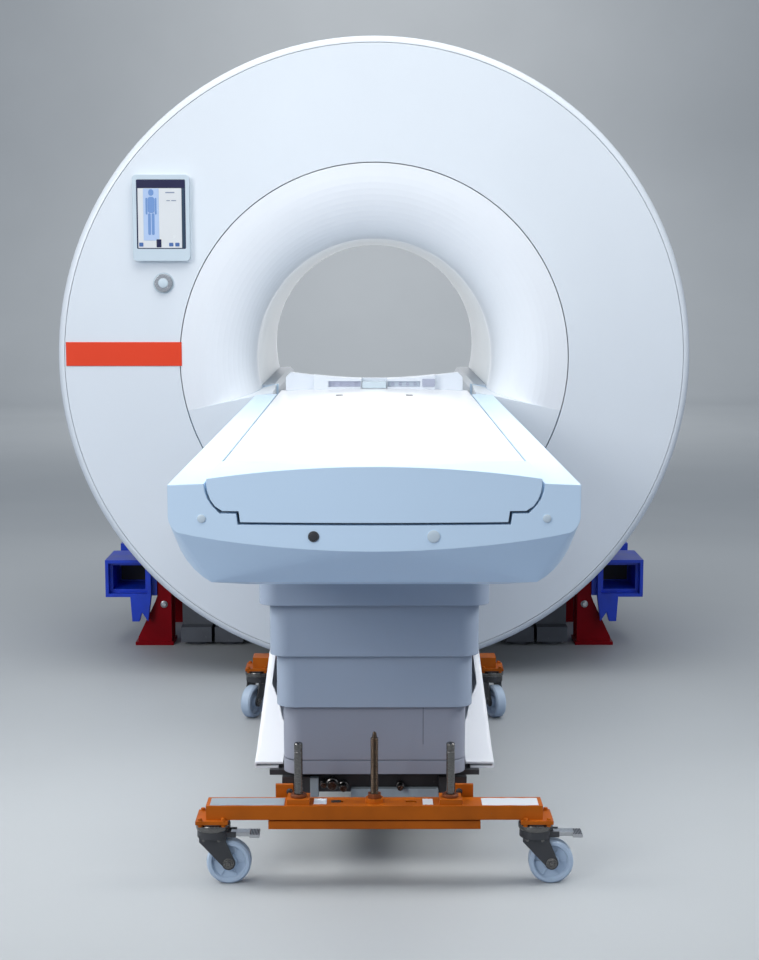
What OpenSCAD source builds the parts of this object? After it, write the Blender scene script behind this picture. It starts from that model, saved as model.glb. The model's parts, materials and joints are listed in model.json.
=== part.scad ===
/* [Gantry] */
// Radius of the round front cover
gantry_r = 1050; // [1000:5:1100]
// Height of the bore axis above the floor
axis_z = 1079; // [1070:1:1090]
// Length of the gantry from front face to rear face
gantry_len = 1480; // [1440:5:1560]
// Radius of the patient bore
bore_r = 400; // [398:1:404]
// Radius of the dark seam between cover and funnel
seam_r = 644; // [640:1:660]
// Width of the open seam
seam_gap = 3; // [2:0.5:5]
// Depth of the funnel from the front face to the bore
funnel_depth = 200; // [180:5:220]
// Wall of the moulded covers
cover_wall = 12; // [8:1:16]
// Radius of the rounded rim trim
rim_r = 23; // [18:1:28]
// Width of the rim trim's outer band
rim_band = 90; // [70:5:120]
// Height of the recess ceiling at the open seam
ledge_z = 904; // [898:1:915]
// Rise of the recess ceiling over the funnel's depth
ledge_rise = 12; // [6:1:16]
// Rise of the recess ceiling towards the middle, per millimetre
ledge_pitch = 0.22; // [0.18:0.01:0.24]
// Wall of the bore liner
liner_wall = 8; // [6:1:8]

/* [Magnet] */
// Room between the vacuum vessel and the side shells' outside
vessel_room = 110; // [100:5:130]
// Wall of the vacuum vessel
vessel_wall = 14; // [10:1:20]
// Inner radius of the vacuum vessel
vessel_bore_r = 452; // [450:1:470]
// Wall of the body coil
body_coil_wall = 8; // [6:1:10]
// Radial build of the main coils
coil_build = 80; // [60:5:100]
// Room between the shield coils and the vessel's outside
shield_room = 40; // [36:1:60]

/* [Panel] */
// Width of the display housing
display_w = 186; // [160:2:220]
// Height of the display housing
display_h = 279; // [250:1:300]
// Thickness of the display housing
display_t = 24; // [18:1:32]
// Radius of the turning dial
dial_r = 29; // [24:1:34]
// Radius of the push button in the dial
button_r = 16; // [12:1:18]
// Travel of the push button
button_travel = 2.5; // [1:0.5:3]
// Width of the plain colour tag
tag_w = 383; // [340:1:390]
// Height of the plain colour tag
tag_h = 79; // [60:1:90]

/* [Tabletop] */
// Reach of the table in front of the gantry face
table_reach = 2350; // [2250:10:2450]
// Half width of the moving tabletop
top_half_w = 318; // [310:1:322]
// Height of the tabletop's edge above the floor
top_z = 966; // [964:1:970]
// Depth of the tabletop from its edge to its underside
top_depth = 73; // [68:1:74]
// Rise of the tabletop's crown at the middle
top_crown = 12; // [8:1:16]
// Reach of the tabletop's head end into the funnel
head_reach = 150; // [100:5:180]
// Travel of the tabletop into the bore
slide_travel = 1600; // [1300:10:1700]
// Length of the end cap at the foot end
cap_len = 300; // [240:10:360]
// Rise of the end cap's crown above the frame's corners
cap_crown = 38; // [30:1:44]
// Running gap between tabletop and frame
top_gap = 5; // [4:0.5:6]

/* [Table frame] */
// Half width of the table frame
frame_half_w = 393; // [385:1:400]
// Height of the frame's side edge above the floor
frame_z = 962; // [960:1:964]
// Height of the frame's flat underside
hull_z = 745; // [740:1:752]
// Wall of the frame hull
hull_wall = 14; // [10:1:18]
// Gap between the frame's rear end and the gantry face
frame_gap = 15; // [10:1:25]

/* [Column] */
// Travel of the lifting column
lift_travel = 300; // [270:5:300]
// Half width of the collar under the frame
collar_half_w = 261; // [258:1:262]
// Half width of the upper column tier
tier_half_w = 239; // [232:1:240]
// Step from one column tier to the next
tier_step = 14; // [11:0.5:14]
// Height of the collar under the frame
collar_h = 125; // [118:1:130]
// Height of a tier that shows when the table is raised
tier_show = 122; // [116:1:124]
// Wall of a column tier
tier_wall = 7; // [5:0.5:8]
// Gap from the column's front to the table's front end
column_setback = 550; // [530:5:560]
// Length of the collar
collar_len = 1276; // [1220:2:1276]
// Radius of the collar's upright corners
tier_corner_r = 42; // [34:1:60]
// Height of the base cover's lower edge
base_z = 214; // [210:1:218]

/* [Trolleys] */
// Length of a trolley beam
beam_len = 750; // [740:5:800]
// Height of the beam's top face
beam_top_z = 186; // [182:1:188]
// Height of the beam section
beam_h = 32; // [28:1:34]
// Depth of the beam section
beam_d = 62; // [56:1:66]
// Distance between the two trolleys' beams
wheelbase = 1400; // [1400:5:1440]
// Distance between the guide pins of one trolley
pin_spacing = 340; // [320:2:360]
// Radius of a guide pin
pin_r = 9.5; // [8:0.5:11]
// Rise of the trolleys when the table is set down
trolley_travel = 120; // [80:5:130]
// Radius of a castor wheel
wheel_r = 50; // [46:1:52]
// Width of a castor wheel
wheel_w = 32; // [28:1:36]
// Trail of a castor wheel behind its swivel axis
castor_trail = 35; // [32:1:40]

/* [Hidden] */
$fn = 96;
seat = 0.3;
big = 4000;

// Gantry stations, counted back from the gantry's front face
front_y = (table_reach - gantry_len) / 2;
liner_end = gantry_len - funnel_depth;
seam_flange = 45;
rim_ledge = 25;
seam_in = seam_r - seam_gap / 2;
seam_out = seam_r + seam_gap / 2;
side_r = gantry_r - 8;
side_in_r = side_r - cover_wall;
cover_low_z = 440;
panel_t = 10;

// Vessel stations
vessel_r = gantry_r - vessel_room;
shield_r = vessel_r - shield_room;
vessel_front = funnel_depth + panel_t + 15;
vessel_rear = gantry_len - vessel_front;
vessel_len = vessel_rear - vessel_front;

// Bore stations
top_under_z = top_z - top_depth;
bridge_z = top_under_z - top_gap;
bridge_t = 10;
rail_x = top_half_w + 12;
rail_in_z = top_z + 4;
rail_out_z = rail_in_z + 10;

// Magnet feet
foot_stations = [540, gantry_len - 540];
foot_neck_x = vessel_r - 140;
foot_in_x = foot_neck_x - 52;
foot_out_x = foot_neck_x + 72;
foot_neck_top = 640;
foot_len = 120;
foot_plate = 18;
foot_bolt_r = 9;
flange_t = 12;
beam_h_base = 70;
saddle_x = [vessel_r - 456, vessel_r - 340];
saddle_w = [104, 112];

// Blue jack pockets
pocket_w = 166;
pocket_h = 137;
pocket_z = 187;
pocket_x = foot_neck_x + 18;
pocket_wall = 12;
pocket_len = 210;
pocket_setback = 90;
pocket_step = 30;
hook_z = 96;
hook_w = 70;

// Colours
white = [0.93, 0.94, 0.96];
shade_white = [0.82, 0.85, 0.9];
column_grey = [0.66, 0.7, 0.77];
steel = [0.6, 0.62, 0.64];
dark_steel = [0.12, 0.12, 0.13];
orange = [0.9, 0.36, 0.06];

// Puts a revolved shape round the bore axis, its length running back from the gantry face
module on_axis(depth = 0)
    translate([0, front_y + depth, axis_z])
        rotate([-90, 0, 0])
            children();

// Outline points of an arc
function arc(cx, cy, r, a0, a1, n = 12) =
    [for (i = [0:n]) let (a = a0 + (a1 - a0) * i / n) [cx + r * cos(a), cy + r * sin(a)]];

// A plain ring round the bore axis
module ring(r_in, r_out, len)
    rotate_extrude($fn = 180)
        translate([r_in, 0])
            square([r_out - r_in, len]);

// Everything below the two ceiling planes of the table recess
module below_ledge(drop = 0)
    translate([0, front_y, ledge_z - drop])
        rotate([atan(ledge_rise / funnel_depth) + 90, 0, 0])
            translate([0, 0, -big / 2])
                linear_extrude(big)
                    polygon([
                        [-2 * seam_r, -ledge_pitch * seam_r],
                        [0, ledge_pitch * seam_r],
                        [2 * seam_r, -ledge_pitch * seam_r],
                        [2 * seam_r, -big],
                        [-2 * seam_r, -big]
                    ]);

module front_cover() {
    outer = gantry_r - rim_r - seam_gap / 2;
    color(white)
        on_axis()
            rotate_extrude($fn = 180)
                polygon([
                    [seam_out, 0],
                    [outer, 0],
                    [outer, cover_wall],
                    [seam_out + cover_wall, cover_wall],
                    [seam_out + cover_wall, seam_flange],
                    [seam_out, seam_flange]
                ]);
}

// Rounded band round the edge of a front or rear cover, with the ledge that carries the cover
module rim_profile() {
    c = gantry_r - rim_r;
    polygon(concat(
        arc(c, rim_r, rim_r, -90, 0),
        [[gantry_r, rim_band], [gantry_r - cover_wall, rim_band]],
        [[gantry_r - cover_wall, cover_wall + 10]],
        [[c - rim_ledge, cover_wall + 10], [c - rim_ledge, cover_wall], [c, cover_wall]]
    ));
}

module front_rim() {
    color(white)
        on_axis()
            rotate_extrude($fn = 180)
                rim_profile();
}

// Flared funnel that rolls from the flat face into the bore
module funnel_profile() {
    roll = bore_r + funnel_depth;
    polygon(concat(
        [[seam_in, 0]],
        arc(roll, funnel_depth, funnel_depth, -90, -180, 16),
        [[bore_r, funnel_depth + panel_t], [bore_r + cover_wall, funnel_depth + panel_t]],
        arc(roll, funnel_depth, funnel_depth - cover_wall, -180, -90, 16),
        [[seam_in - cover_wall, cover_wall]],
        [[seam_in - cover_wall, seam_flange], [seam_in, seam_flange]]
    ));
}

module front_funnel() {
    color(white)
        difference() {
            on_axis()
                rotate_extrude($fn = 180)
                    funnel_profile();
            below_ledge();
        }
}

// Recess under the funnel: side band, back wall and the two ceiling ledges
module front_lower_panel() {
    band_r = seam_in - cover_wall;
    color(shade_white)
        intersection() {
            below_ledge();
            on_axis()
                ring(band_r, seam_in, funnel_depth + panel_t);
        }
    color(shade_white)
        difference() {
            intersection() {
                below_ledge();
                on_axis(funnel_depth)
                    cylinder(h = panel_t, r = band_r, $fn = 180);
            }
            translate([-rail_x, front_y, bridge_z - bridge_t])
                cube([2 * rail_x, funnel_depth + 2 * panel_t, big]);
        }
    color(shade_white)
        difference() {
            intersection() {
                below_ledge();
                on_axis()
                    rotate_extrude($fn = 180)
                        polygon(concat(
                            [[band_r, 0]],
                            arc(bore_r + funnel_depth, funnel_depth, funnel_depth, -90, -180, 16),
                            [[band_r, funnel_depth]]
                        ));
            }
            below_ledge(panel_t);
        }
}

module rear_cover() {
    color(white)
        on_axis(gantry_len)
            mirror([0, 0, 1])
                rotate_extrude($fn = 180)
                    polygon(concat(
                        [[seam_out, 0]],
                        arc(gantry_r - rim_r, rim_r, rim_r, -90, 0),
                        [[gantry_r, rim_band], [gantry_r - cover_wall, rim_band]],
                        [[gantry_r - cover_wall, rim_r]],
                        arc(gantry_r - rim_r, rim_r, rim_r - cover_wall, 0, -90, 8),
                        [[seam_out + cover_wall, cover_wall]],
                        [[seam_out + cover_wall, seam_flange], [seam_out, seam_flange]]
                    ));
}

module rear_funnel() {
    color(white)
        on_axis(gantry_len)
            mirror([0, 0, 1])
                rotate_extrude($fn = 180)
                    funnel_profile();
}

// One side shell, from the seam at the top to its lower edge; side is -1 or 1
module side_cover(side) {
    half = [big, big, big];
    color(white)
        intersection() {
            on_axis(rim_band)
                ring(side_in_r, side_r, gantry_len - 2 * rim_band);
            translate([side > 0 ? seam_gap / 2 : -big - seam_gap / 2, -big / 2, cover_low_z])
                cube(half);
        }
}

// Two ring frames on the vessel that carry the side shells
module cover_frames() {
    frame_t = 20;
    color(steel)
        for (depth = [vessel_front + 60, vessel_rear - 60 - frame_t])
            intersection() {
                on_axis(depth)
                    ring(vessel_r, side_in_r, frame_t);
                translate([-big / 2, -big / 2, cover_low_z + 30])
                    cube([big, big, big]);
            }
}

module bore_liner() {
    color(shade_white)
        on_axis(funnel_depth + panel_t)
            ring(bore_r, bore_r + liner_wall, liner_end - funnel_depth - 2 * panel_t);
}

// Level floor in the bore, with its two webs standing on the liner
module bore_bridge() {
    web_x = 200;
    web_t = 12;
    len = liner_end - funnel_depth - 2 * panel_t;
    color(shade_white)
        translate([-rail_x, front_y + funnel_depth, bridge_z - bridge_t])
            cube([2 * rail_x, len + 2 * panel_t, bridge_t]);
    color(shade_white)
        intersection() {
            for (side = [-1, 1])
                translate([side * web_x - web_t / 2, front_y + funnel_depth + panel_t, axis_z - bore_r])
                    cube([web_t, len, bridge_z - bridge_t - axis_z + bore_r]);
            on_axis()
                cylinder(h = gantry_len, r = bore_r - seat, $fn = 180);
        }
}

// Grey side rails that guide the tabletop through the bore
module bore_rails() {
    color(steel)
        intersection() {
            for (side = [-1, 1])
                translate([0, front_y + liner_end, 0])
                    scale([side, 1, 1])
                        rotate([90, 0, 0])
                            linear_extrude(liner_end - funnel_depth - panel_t - seat)
                                polygon([
                                    [rail_x, bridge_z - bridge_t],
                                    [rail_x, rail_in_z],
                                    [rail_x + 14, rail_in_z + 14],
                                    [bore_r, rail_out_z],
                                    [bore_r, bridge_z - bridge_t]
                                ]);
            on_axis()
                cylinder(h = gantry_len, r = bore_r - seat, $fn = 180);
        }
}

module body_coil() {
    r_in = bore_r + liner_wall + seat;
    color([0.72, 0.45, 0.2])
        on_axis(funnel_depth + 30)
            ring(r_in, r_in + body_coil_wall, liner_end - funnel_depth - 60);
}

module gradient_coil() {
    r_in = bore_r + liner_wall + body_coil_wall + 2 * seat;
    color([0.55, 0.5, 0.3])
        on_axis(vessel_front + 20)
            ring(r_in, vessel_bore_r - seat, vessel_len - 40);
}

// Outer wall, bore wall and rear end plate of the vacuum vessel
module vessel_shell() {
    wall_len = vessel_len - 2 * vessel_wall - 2 * seat;
    color(steel)
        on_axis(vessel_front + vessel_wall + seat) {
            ring(vessel_r - vessel_wall, vessel_r, wall_len);
            ring(vessel_bore_r, vessel_bore_r + vessel_wall, wall_len);
            translate([0, 0, wall_len + seat])
                ring(vessel_bore_r, vessel_r, vessel_wall);
        }
}

module vessel_end() {
    color(steel)
        on_axis(vessel_front)
            ring(vessel_bore_r, vessel_r, vessel_wall);
}

// Widths and places of the main coils, as shares of the length between the vessel's ends
coil_in_r = vessel_bore_r + vessel_wall + 12;
coil_room = vessel_len - 2 * vessel_wall;
coil_list = [[0.06, 0.14], [0.26, 0.09], [0.41, 0.06], [0.53, 0.06], [0.65, 0.09], [0.80, 0.14]];
shield_list = [[0.08, 0.12], [0.80, 0.12]];
shield_build = 60;
web_t = 16;

module coil_former() {
    former_r = vessel_bore_r + vessel_wall + seat;
    color([0.5, 0.52, 0.55])
        on_axis(vessel_front + vessel_wall)
            union() {
                ring(former_r, coil_in_r - seat, coil_room);
                for (s = shield_list)
                    translate([0, 0, (s[0] + s[1]) * coil_room])
                        ring(coil_in_r - 1, shield_r, web_t);
            }
}

module main_coils() {
    color([0.75, 0.42, 0.16])
        on_axis(vessel_front + vessel_wall)
            for (c = coil_list)
                translate([0, 0, c[0] * coil_room])
                    ring(coil_in_r, coil_in_r + coil_build, c[1] * coil_room - 2 * web_t);
}

module shield_coils() {
    color([0.75, 0.42, 0.16])
        on_axis(vessel_front + vessel_wall)
            for (s = shield_list)
                translate([0, 0, s[0] * coil_room])
                    ring(shield_r - shield_build, shield_r, s[1] * coil_room);
}

// Cold head turret on top of the vessel
module cold_head() {
    head_r = 60;
    flange_r = 92;
    top = side_in_r - 12;
    color(steel)
        difference() {
            translate([0, front_y + gantry_len / 2, axis_z + vessel_r - 20]) {
                cylinder(h = 42, r = flange_r);
                cylinder(h = top - vessel_r + 20, r = head_r);
                translate([0, 0, top - vessel_r - 10])
                    cylinder(h = 16, r = head_r + 14);
            }
            on_axis()
                cylinder(h = gantry_len, r = vessel_r, $fn = 180);
        }
}

// Welded steel base: floor beams on pads, and saddle plates cut to the vessel
module magnet_base() {
    pad_r = 45;
    pad_h = 14;
    saddle_t = 36;
    beam_front = foot_stations[0] - 70;
    beam_len_y = foot_stations[1] - foot_stations[0] + 140;
    color([0.35, 0.36, 0.38])
        difference() {
            for (side = [-1, 1])
                scale([side, 1, 1])
                    for (i = [0, 1])
                        translate([saddle_x[i], front_y, 0]) {
                            translate([0, beam_front, pad_h])
                                cube([saddle_w[i], beam_len_y, beam_h_base - pad_h]);
                            for (s = foot_stations) {
                                translate([0, s - saddle_t / 2, beam_h_base])
                                    cube([saddle_w[i], saddle_t, axis_z / 2]);
                                translate([saddle_w[i] / 2, s, 0])
                                    cylinder(h = pad_h, r = pad_r);
                            }
                        }
            on_axis()
                cylinder(h = gantry_len, r = vessel_r, $fn = 180);
        }
}

// Red gusseted feet, bolted to the floor through their flanges
module red_feet() {
    color([0.62, 0.02, 0.06])
        difference() {
            for (side = [-1, 1], s = foot_stations)
                scale([side, 1, 1])
                    translate([0, front_y + s, 0]) {
                        translate([foot_in_x - 6, -foot_len / 2, 0])
                            cube([foot_out_x - foot_in_x + 16, foot_len, flange_t]);
                        for (y = [-foot_len / 2 + 6, foot_len / 2 - 6 - foot_plate])
                            translate([0, y + foot_plate, flange_t])
                                rotate([90, 0, 0])
                                    linear_extrude(foot_plate)
                                        polygon([
                                            [foot_in_x, 0],
                                            [foot_out_x, 0],
                                            [foot_out_x, 18],
                                            [foot_neck_x + 8, 150],
                                            [foot_neck_x, 172],
                                            [foot_neck_x, foot_neck_top],
                                            [foot_in_x, foot_neck_top]
                                        ]);
                        translate([foot_in_x, -foot_len / 2 + 6, 220])
                            cube([foot_neck_x - foot_in_x, foot_len - 12, foot_neck_top - 220]);
                    }
            on_axis()
                cylinder(h = gantry_len, r = vessel_r, $fn = 180);
            for (side = [-1, 1], s = foot_stations)
                translate([side * (foot_in_x + foot_out_x) / 2, front_y + s, -1])
                    cylinder(h = flange_t + 2, r = foot_bolt_r);
        }
}

// Blue lifting pocket beside a foot, open to the front and closed at its other end
module jack_pocket() {
    y0 = foot_stations[0] - pocket_setback;
    difference() {
        union() {
            translate([pocket_x, y0, pocket_z])
                cube([pocket_w, pocket_len, pocket_h]);
            translate([foot_neck_x, foot_stations[0] - foot_len / 2, pocket_z])
                cube([pocket_x - foot_neck_x + 1, foot_len, pocket_h]);
            translate([0, y0 + 24, 0])
                rotate([90, 0, 0])
                    linear_extrude(24)
                        polygon([
                            [pocket_x, pocket_z + 1],
                            [pocket_x + 12, hook_z],
                            [pocket_x + 34, hook_z + 34],
                            [pocket_x + 44, hook_z],
                            [pocket_x + hook_w, hook_z],
                            [pocket_x + hook_w + 6, pocket_z + 1]
                        ]);
        }
        translate([pocket_x + pocket_wall, y0 - 1, pocket_z + pocket_wall])
            cube([pocket_w - 2 * pocket_wall, pocket_step + 1, pocket_h - 2 * pocket_wall]);
        translate([pocket_x + 2 * pocket_wall, y0, pocket_z + 2 * pocket_wall])
            cube([pocket_w - 4 * pocket_wall, pocket_len - pocket_wall, pocket_h - 4 * pocket_wall]);
    }
}

module jack_pockets() {
    color([0.05, 0.22, 0.78])
        for (side = [-1, 1])
            scale([side, 1, 1]) {
                translate([0, front_y, 0])
                    jack_pocket();
                translate([0, front_y + gantry_len, 0])
                    scale([1, -1, 1])
                        jack_pocket();
            }
}

// Control panel stations on the gantry's face
display_x = 354 - gantry_r;
display_z = axis_z + 463;
glass_w = display_w - 26;
glass_h = display_h - 55;
glass_t = 6;
glass_z = display_z + 12;
dial_x = 356 - gantry_r;
dial_z = axis_z + 252;
dial_t = 14;
tag_x = tag_w / 2 + 29 - gantry_r;
tag_z = axis_z + 18.5;
tag_t = 2;

// A rectangle with round corners, centred
module rounded(w, h, r) {
    square([w - 2 * r, h], center = true);
    square([w, h - 2 * r], center = true);
    for (x = [-1, 1], y = [-1, 1])
        translate([x * (w / 2 - r), y * (h / 2 - r)])
            circle(r = r);
}

// Stands a flat outline on the gantry's face, raised towards the front
module on_face(x, z, t, lift = 0)
    translate([x, front_y - lift, z])
        rotate([90, 0, 0])
            linear_extrude(t)
                children();

module display_housing() {
    color([0.86, 0.9, 0.93])
        difference() {
            on_face(display_x, display_z, display_t)
                rounded(display_w, display_h, 14);
            on_face(display_x, glass_z, glass_t + 1, display_t - glass_t)
                rounded(glass_w, glass_h, 4);
        }
}

module display_glass() {
    color([0.08, 0.12, 0.25])
        on_face(display_x, glass_z, glass_t, display_t - glass_t)
            rounded(glass_w, glass_h, 4);
}

// Turning ring of the table control, with finger notches round its edge
module dial_ring() {
    color([0.8, 0.83, 0.86])
        difference() {
            on_face(dial_x, dial_z, dial_t, seat)
                circle(r = dial_r);
            on_face(dial_x, dial_z, dial_t + 2, seat - 1)
                circle(r = button_r + seat);
            for (a = [0:30:330])
                on_face(dial_x, dial_z, dial_t, seat + dial_t - 3)
                    rotate(a)
                        translate([dial_r, 0])
                            circle(r = 2.5);
        }
}

module dial_button() {
    color([0.95, 0.96, 0.97])
        on_face(dial_x, dial_z, dial_t + 2 - button_travel, seat + button_travel)
            circle(r = button_r);
}

module side_tag() {
    color([0.93, 0.25, 0.07])
        on_face(tag_x, tag_z, tag_t)
            square([tag_w, tag_h], center = true);
}

// Table stations along the length
foot_y = front_y - table_reach;
cap_rear = foot_y + cap_len;
frame_rear = front_y - frame_gap;
head_y = front_y + head_reach;
nose_len = 160;
hull_flat = 250;
hull_turn_z = 895;
crease_z = 908;
crease_sag = 70;
plan_sag = 25;
rim_top_z = top_z;
runner_x = 155;

// A profile drawn in x and z, drawn out from one station along the table to another
module along(y_from, y_to)
    translate([0, y_to, 0])
        rotate([90, 0, 0])
            linear_extrude(y_to - y_from)
                children();

// Radius of the circle whose arc of a given width rises by a given amount
function crown_radius(half, rise) = (half * half + rise * rise) / (2 * rise);

// Everything below a crowned surface
module under_crown(half, z, rise) {
    r = crown_radius(half, rise);
    translate([0, z + rise - r])
        circle(r = r, $fn = 1440);
}

// Stepped section of the moving tabletop, grown by a running gap
module tabletop_section(grow = 0, top = 60) {
    w = top_half_w + grow;
    u = top_under_z - grow;
    right = [
        [w, top_z + top],
        [w, top_z - 4],
        [w - 2, top_z - 16],
        [w - 7, top_z - 30],
        [w - 16, top_z - 43],
        [w - 30, top_z - 52 - grow],
        [w - 61, top_z - 52 - grow],
        [w - 64, u]
    ];
    left = [for (i = [len(right) - 1:-1:0]) [-right[i][0], right[i][1]]];
    polygon(concat(right, left));
}

module tabletop() {
    slot_x = 112;
    slot_w = 22;
    slot_len = 60;
    slot_deep = 14;
    slot_y = front_y - 234;
    runner_w = 40;
    color([0.97, 0.97, 0.98])
        difference() {
            along(cap_rear, head_y)
                intersection() {
                    tabletop_section();
                    under_crown(top_half_w, top_z, top_crown);
                }
            for (side = [-1, 1])
                translate([side * slot_x - slot_w / 2, slot_y, top_z + top_crown - slot_deep])
                    cube([slot_w, slot_len, slot_deep]);
        }
    color(steel)
        for (side = [-1, 1])
            translate([side * runner_x - runner_w / 2, cap_rear, top_under_z - top_gap + seat])
                cube([runner_w, head_y - cap_rear, top_gap - seat]);
}

// Crowned end cap whose top falls back to the tabletop
module tabletop_end_cap() {
    color([0.86, 0.89, 0.95])
        intersection() {
            along(foot_y, cap_rear)
                intersection() {
                    tabletop_section();
                    under_crown(frame_half_w, frame_z, cap_crown);
                }
            translate([-big / 2, 0, 0])
                rotate([90, 0, 90])
                    linear_extrude(big)
                        polygon([
                            [foot_y, 0],
                            [cap_rear, 0],
                            [cap_rear, top_z + top_crown],
                            [foot_y, frame_z + cap_crown + 2]
                        ]);
            plan_curve();
        }
}

// Gently bowed front of the table, seen from above
module plan_curve() {
    r = crown_radius(frame_half_w, plan_sag);
    translate([0, foot_y + r, 0])
        cylinder(h = big, r = r, $fn = 1440);
}

// Console at the head end: dished top, plug sockets, and a raised wing on each side
module head_sockets() {
    console_w = 410;
    console_d = 70;
    console_top = top_z + 56;
    dish = 12;
    dish_r = crown_radius(console_w / 2, dish);
    wing_x = top_half_w - 18;
    z0 = top_z + 2;
    color([0.8, 0.82, 0.86])
        difference() {
            union() {
                along(head_y - console_d, head_y)
                    difference() {
                        translate([-console_w / 2, z0])
                            square([console_w, console_top - z0]);
                        under_crown(top_half_w, top_z, top_crown);
                        translate([0, console_top - dish + dish_r])
                            circle(r = dish_r, $fn = 1440);
                    }
                along(head_y - console_d + 30, head_y)
                    difference() {
                        for (side = [-1, 1])
                            polygon([
                                [side * (console_w / 2 - 1), z0],
                                [side * wing_x, z0],
                                [side * wing_x, console_top - 8],
                                [side * (wing_x - 16), console_top + 8],
                                [side * (console_w / 2 - 1), console_top - 2]
                            ]);
                        under_crown(top_half_w, top_z, top_crown);
                    }
            }
            translate([-43, head_y - console_d - 1, top_z])
                cube([86, console_d - 20, 100]);
            for (x = [-155, 45])
                translate([x, head_y - console_d - 1, top_z + 16])
                    cube([110, 16, 20]);
        }
}

// Outer section of the table frame
module hull_section() {
    polygon(concat(
        [[-frame_half_w, frame_z], [-top_half_w, rim_top_z], [top_half_w, rim_top_z], [frame_half_w, frame_z]],
        [for (a = [0:-9:-90])
            [hull_flat + (frame_half_w - hull_flat) * cos(a), hull_turn_z + (hull_turn_z - hull_z) * sin(a)]],
        [for (a = [-90:-9:-180])
            [-hull_flat + (frame_half_w - hull_flat) * cos(a), hull_turn_z + (hull_turn_z - hull_z) * sin(a)]]
    ));
}

// Shallow section of the table's front end, above the crease
module nose_section(sag) {
    r = crown_radius(frame_half_w, sag);
    half = asin(frame_half_w / r);
    polygon(concat(
        [[-frame_half_w, frame_z], [-top_half_w, rim_top_z], [top_half_w, rim_top_z], [frame_half_w, frame_z]],
        arc(0, crease_z - sag + r, r, -90 + half, -90 - half, 20)
    ));
}

// Moulded hull of the table, open along the top for the tabletop
module table_frame() {
    cavity_x = 330;
    cavity_z = hull_z + hull_wall;
    color(shade_white)
        difference() {
            intersection() {
                union() {
                    along(foot_y + nose_len, frame_rear)
                        hull_section();
                    hull() {
                        along(foot_y, foot_y + 1)
                            nose_section(crease_sag);
                        along(foot_y + plan_sag, foot_y + plan_sag + 1)
                            nose_section(crease_sag + 10);
                        along(foot_y + nose_len * 0.55, foot_y + nose_len * 0.56)
                            intersection() {
                                hull_section();
                                translate([-big / 2, hull_z + 18])
                                    square([big, big]);
                            }
                        along(foot_y + nose_len, foot_y + nose_len + 1)
                            hull_section();
                    }
                }
                plan_curve();
            }
            along(foot_y - 1, frame_rear + 1)
                tabletop_section(top_gap);
            along(foot_y + nose_len + 20, frame_rear - hull_wall)
                polygon([
                    [-hull_flat + 10, cavity_z],
                    [hull_flat - 10, cavity_z],
                    [cavity_x - 50, cavity_z + 40],
                    [cavity_x, bridge_z + 1],
                    [-cavity_x, bridge_z + 1],
                    [-cavity_x + 50, cavity_z + 40]
                ]);
        }
}

// Two hollow steel rails on the hull's floor that carry the tabletop's runners
module guide_rails() {
    rail_w = 40;
    rail_wall = 4;
    z0 = hull_z + hull_wall;
    color(steel)
        along(foot_y + nose_len + 30, frame_rear - hull_wall - 10)
            for (side = [-1, 1])
                translate([side * runner_x - rail_w / 2, z0])
                    difference() {
                        square([rail_w, bridge_z - z0]);
                        translate([rail_wall, rail_wall])
                            square([rail_w - 2 * rail_wall, bridge_z - z0 - 2 * rail_wall]);
                    }
}

// Sealed linear drive on the hull's floor, with its motor at the foot end
carriage_y = cap_rear + 30;
carriage_len = 150;

module linear_drive() {
    case_wall = 5;
    z0 = hull_z + hull_wall;
    color([0.3, 0.31, 0.33])
        union() {
            along(foot_y + nose_len + 60, carriage_y + carriage_len + slide_travel + 40)
                translate([-45, z0])
                    difference() {
                        square([90, bridge_z - z0 - 24]);
                        translate([case_wall, case_wall])
                            square([90 - 2 * case_wall, bridge_z - z0 - 24 - 2 * case_wall]);
                    }
            translate([45, foot_y + nose_len + 60, z0])
                cube([80, 150, 70]);
        }
}

// Carriage that ties the drive to the tabletop
module drive_carriage() {
    z0 = bridge_z - 24 + seat;
    color(steel)
        translate([-40, carriage_y, z0])
            cube([80, carriage_len, top_under_z - z0]);
}

// Plugs and caps in the table's bowed front; each lies on the front face
module front_caps() {
    r = crown_radius(frame_half_w, plan_sag);
    proud = 1.7;
    clear = 0.04;
    side_z = crease_z - 9;
    low_z = crease_z - 41;
    caps = [[-328, side_z, 8], [328, side_z, 8], [112, low_z, 12], [-115, low_z, 9]];
    color(steel)
        for (c = caps)
            translate([0, foot_y + r, c[1]])
                rotate([0, 0, asin(c[0] / r)])
                    translate([0, -r - clear, 0])
                        rotate([90, 0, 0])
                            cylinder(h = proud, r = c[2]);
}

// Column stations
column_y = foot_y + column_setback + collar_len / 2;
lift_step = lift_travel / 3;
tier_h = tier_show + 14;
collar_z = hull_z - collar_h;
upper_z = collar_z - tier_show;
middle_z = upper_z - tier_show;
base_top_z = middle_z + 16;
lip_h = 6;
strip_h = 31;
middle_half_w = tier_half_w - tier_step;
base_half_w = tier_half_w - 2 * tier_step;

// Length of a tier that nests inside the collar
function tier_len(half_w) = collar_len - 2 * (collar_half_w - half_w);

// A tier's rounded outline in plan
module tier_outline(half_w, r = tier_corner_r)
    translate([0, column_y])
        rounded(2 * half_w, tier_len(half_w), r);

// One hollow tier with the guide lip at its top that reaches out to the next tier
module tier(half_w, z, h, lip_half_w) {
    difference() {
        union() {
            translate([0, 0, z])
                linear_extrude(h)
                    tier_outline(half_w);
            translate([0, 0, z + h - lip_h])
                linear_extrude(lip_h)
                    tier_outline(lip_half_w);
        }
        translate([0, 0, z - 1])
            linear_extrude(h + 2)
                tier_outline(half_w - tier_wall, tier_corner_r - tier_wall);
    }
}

module column_collar() {
    color(column_grey)
        tier(collar_half_w, collar_z, hull_z - collar_z, collar_half_w);
}

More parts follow.
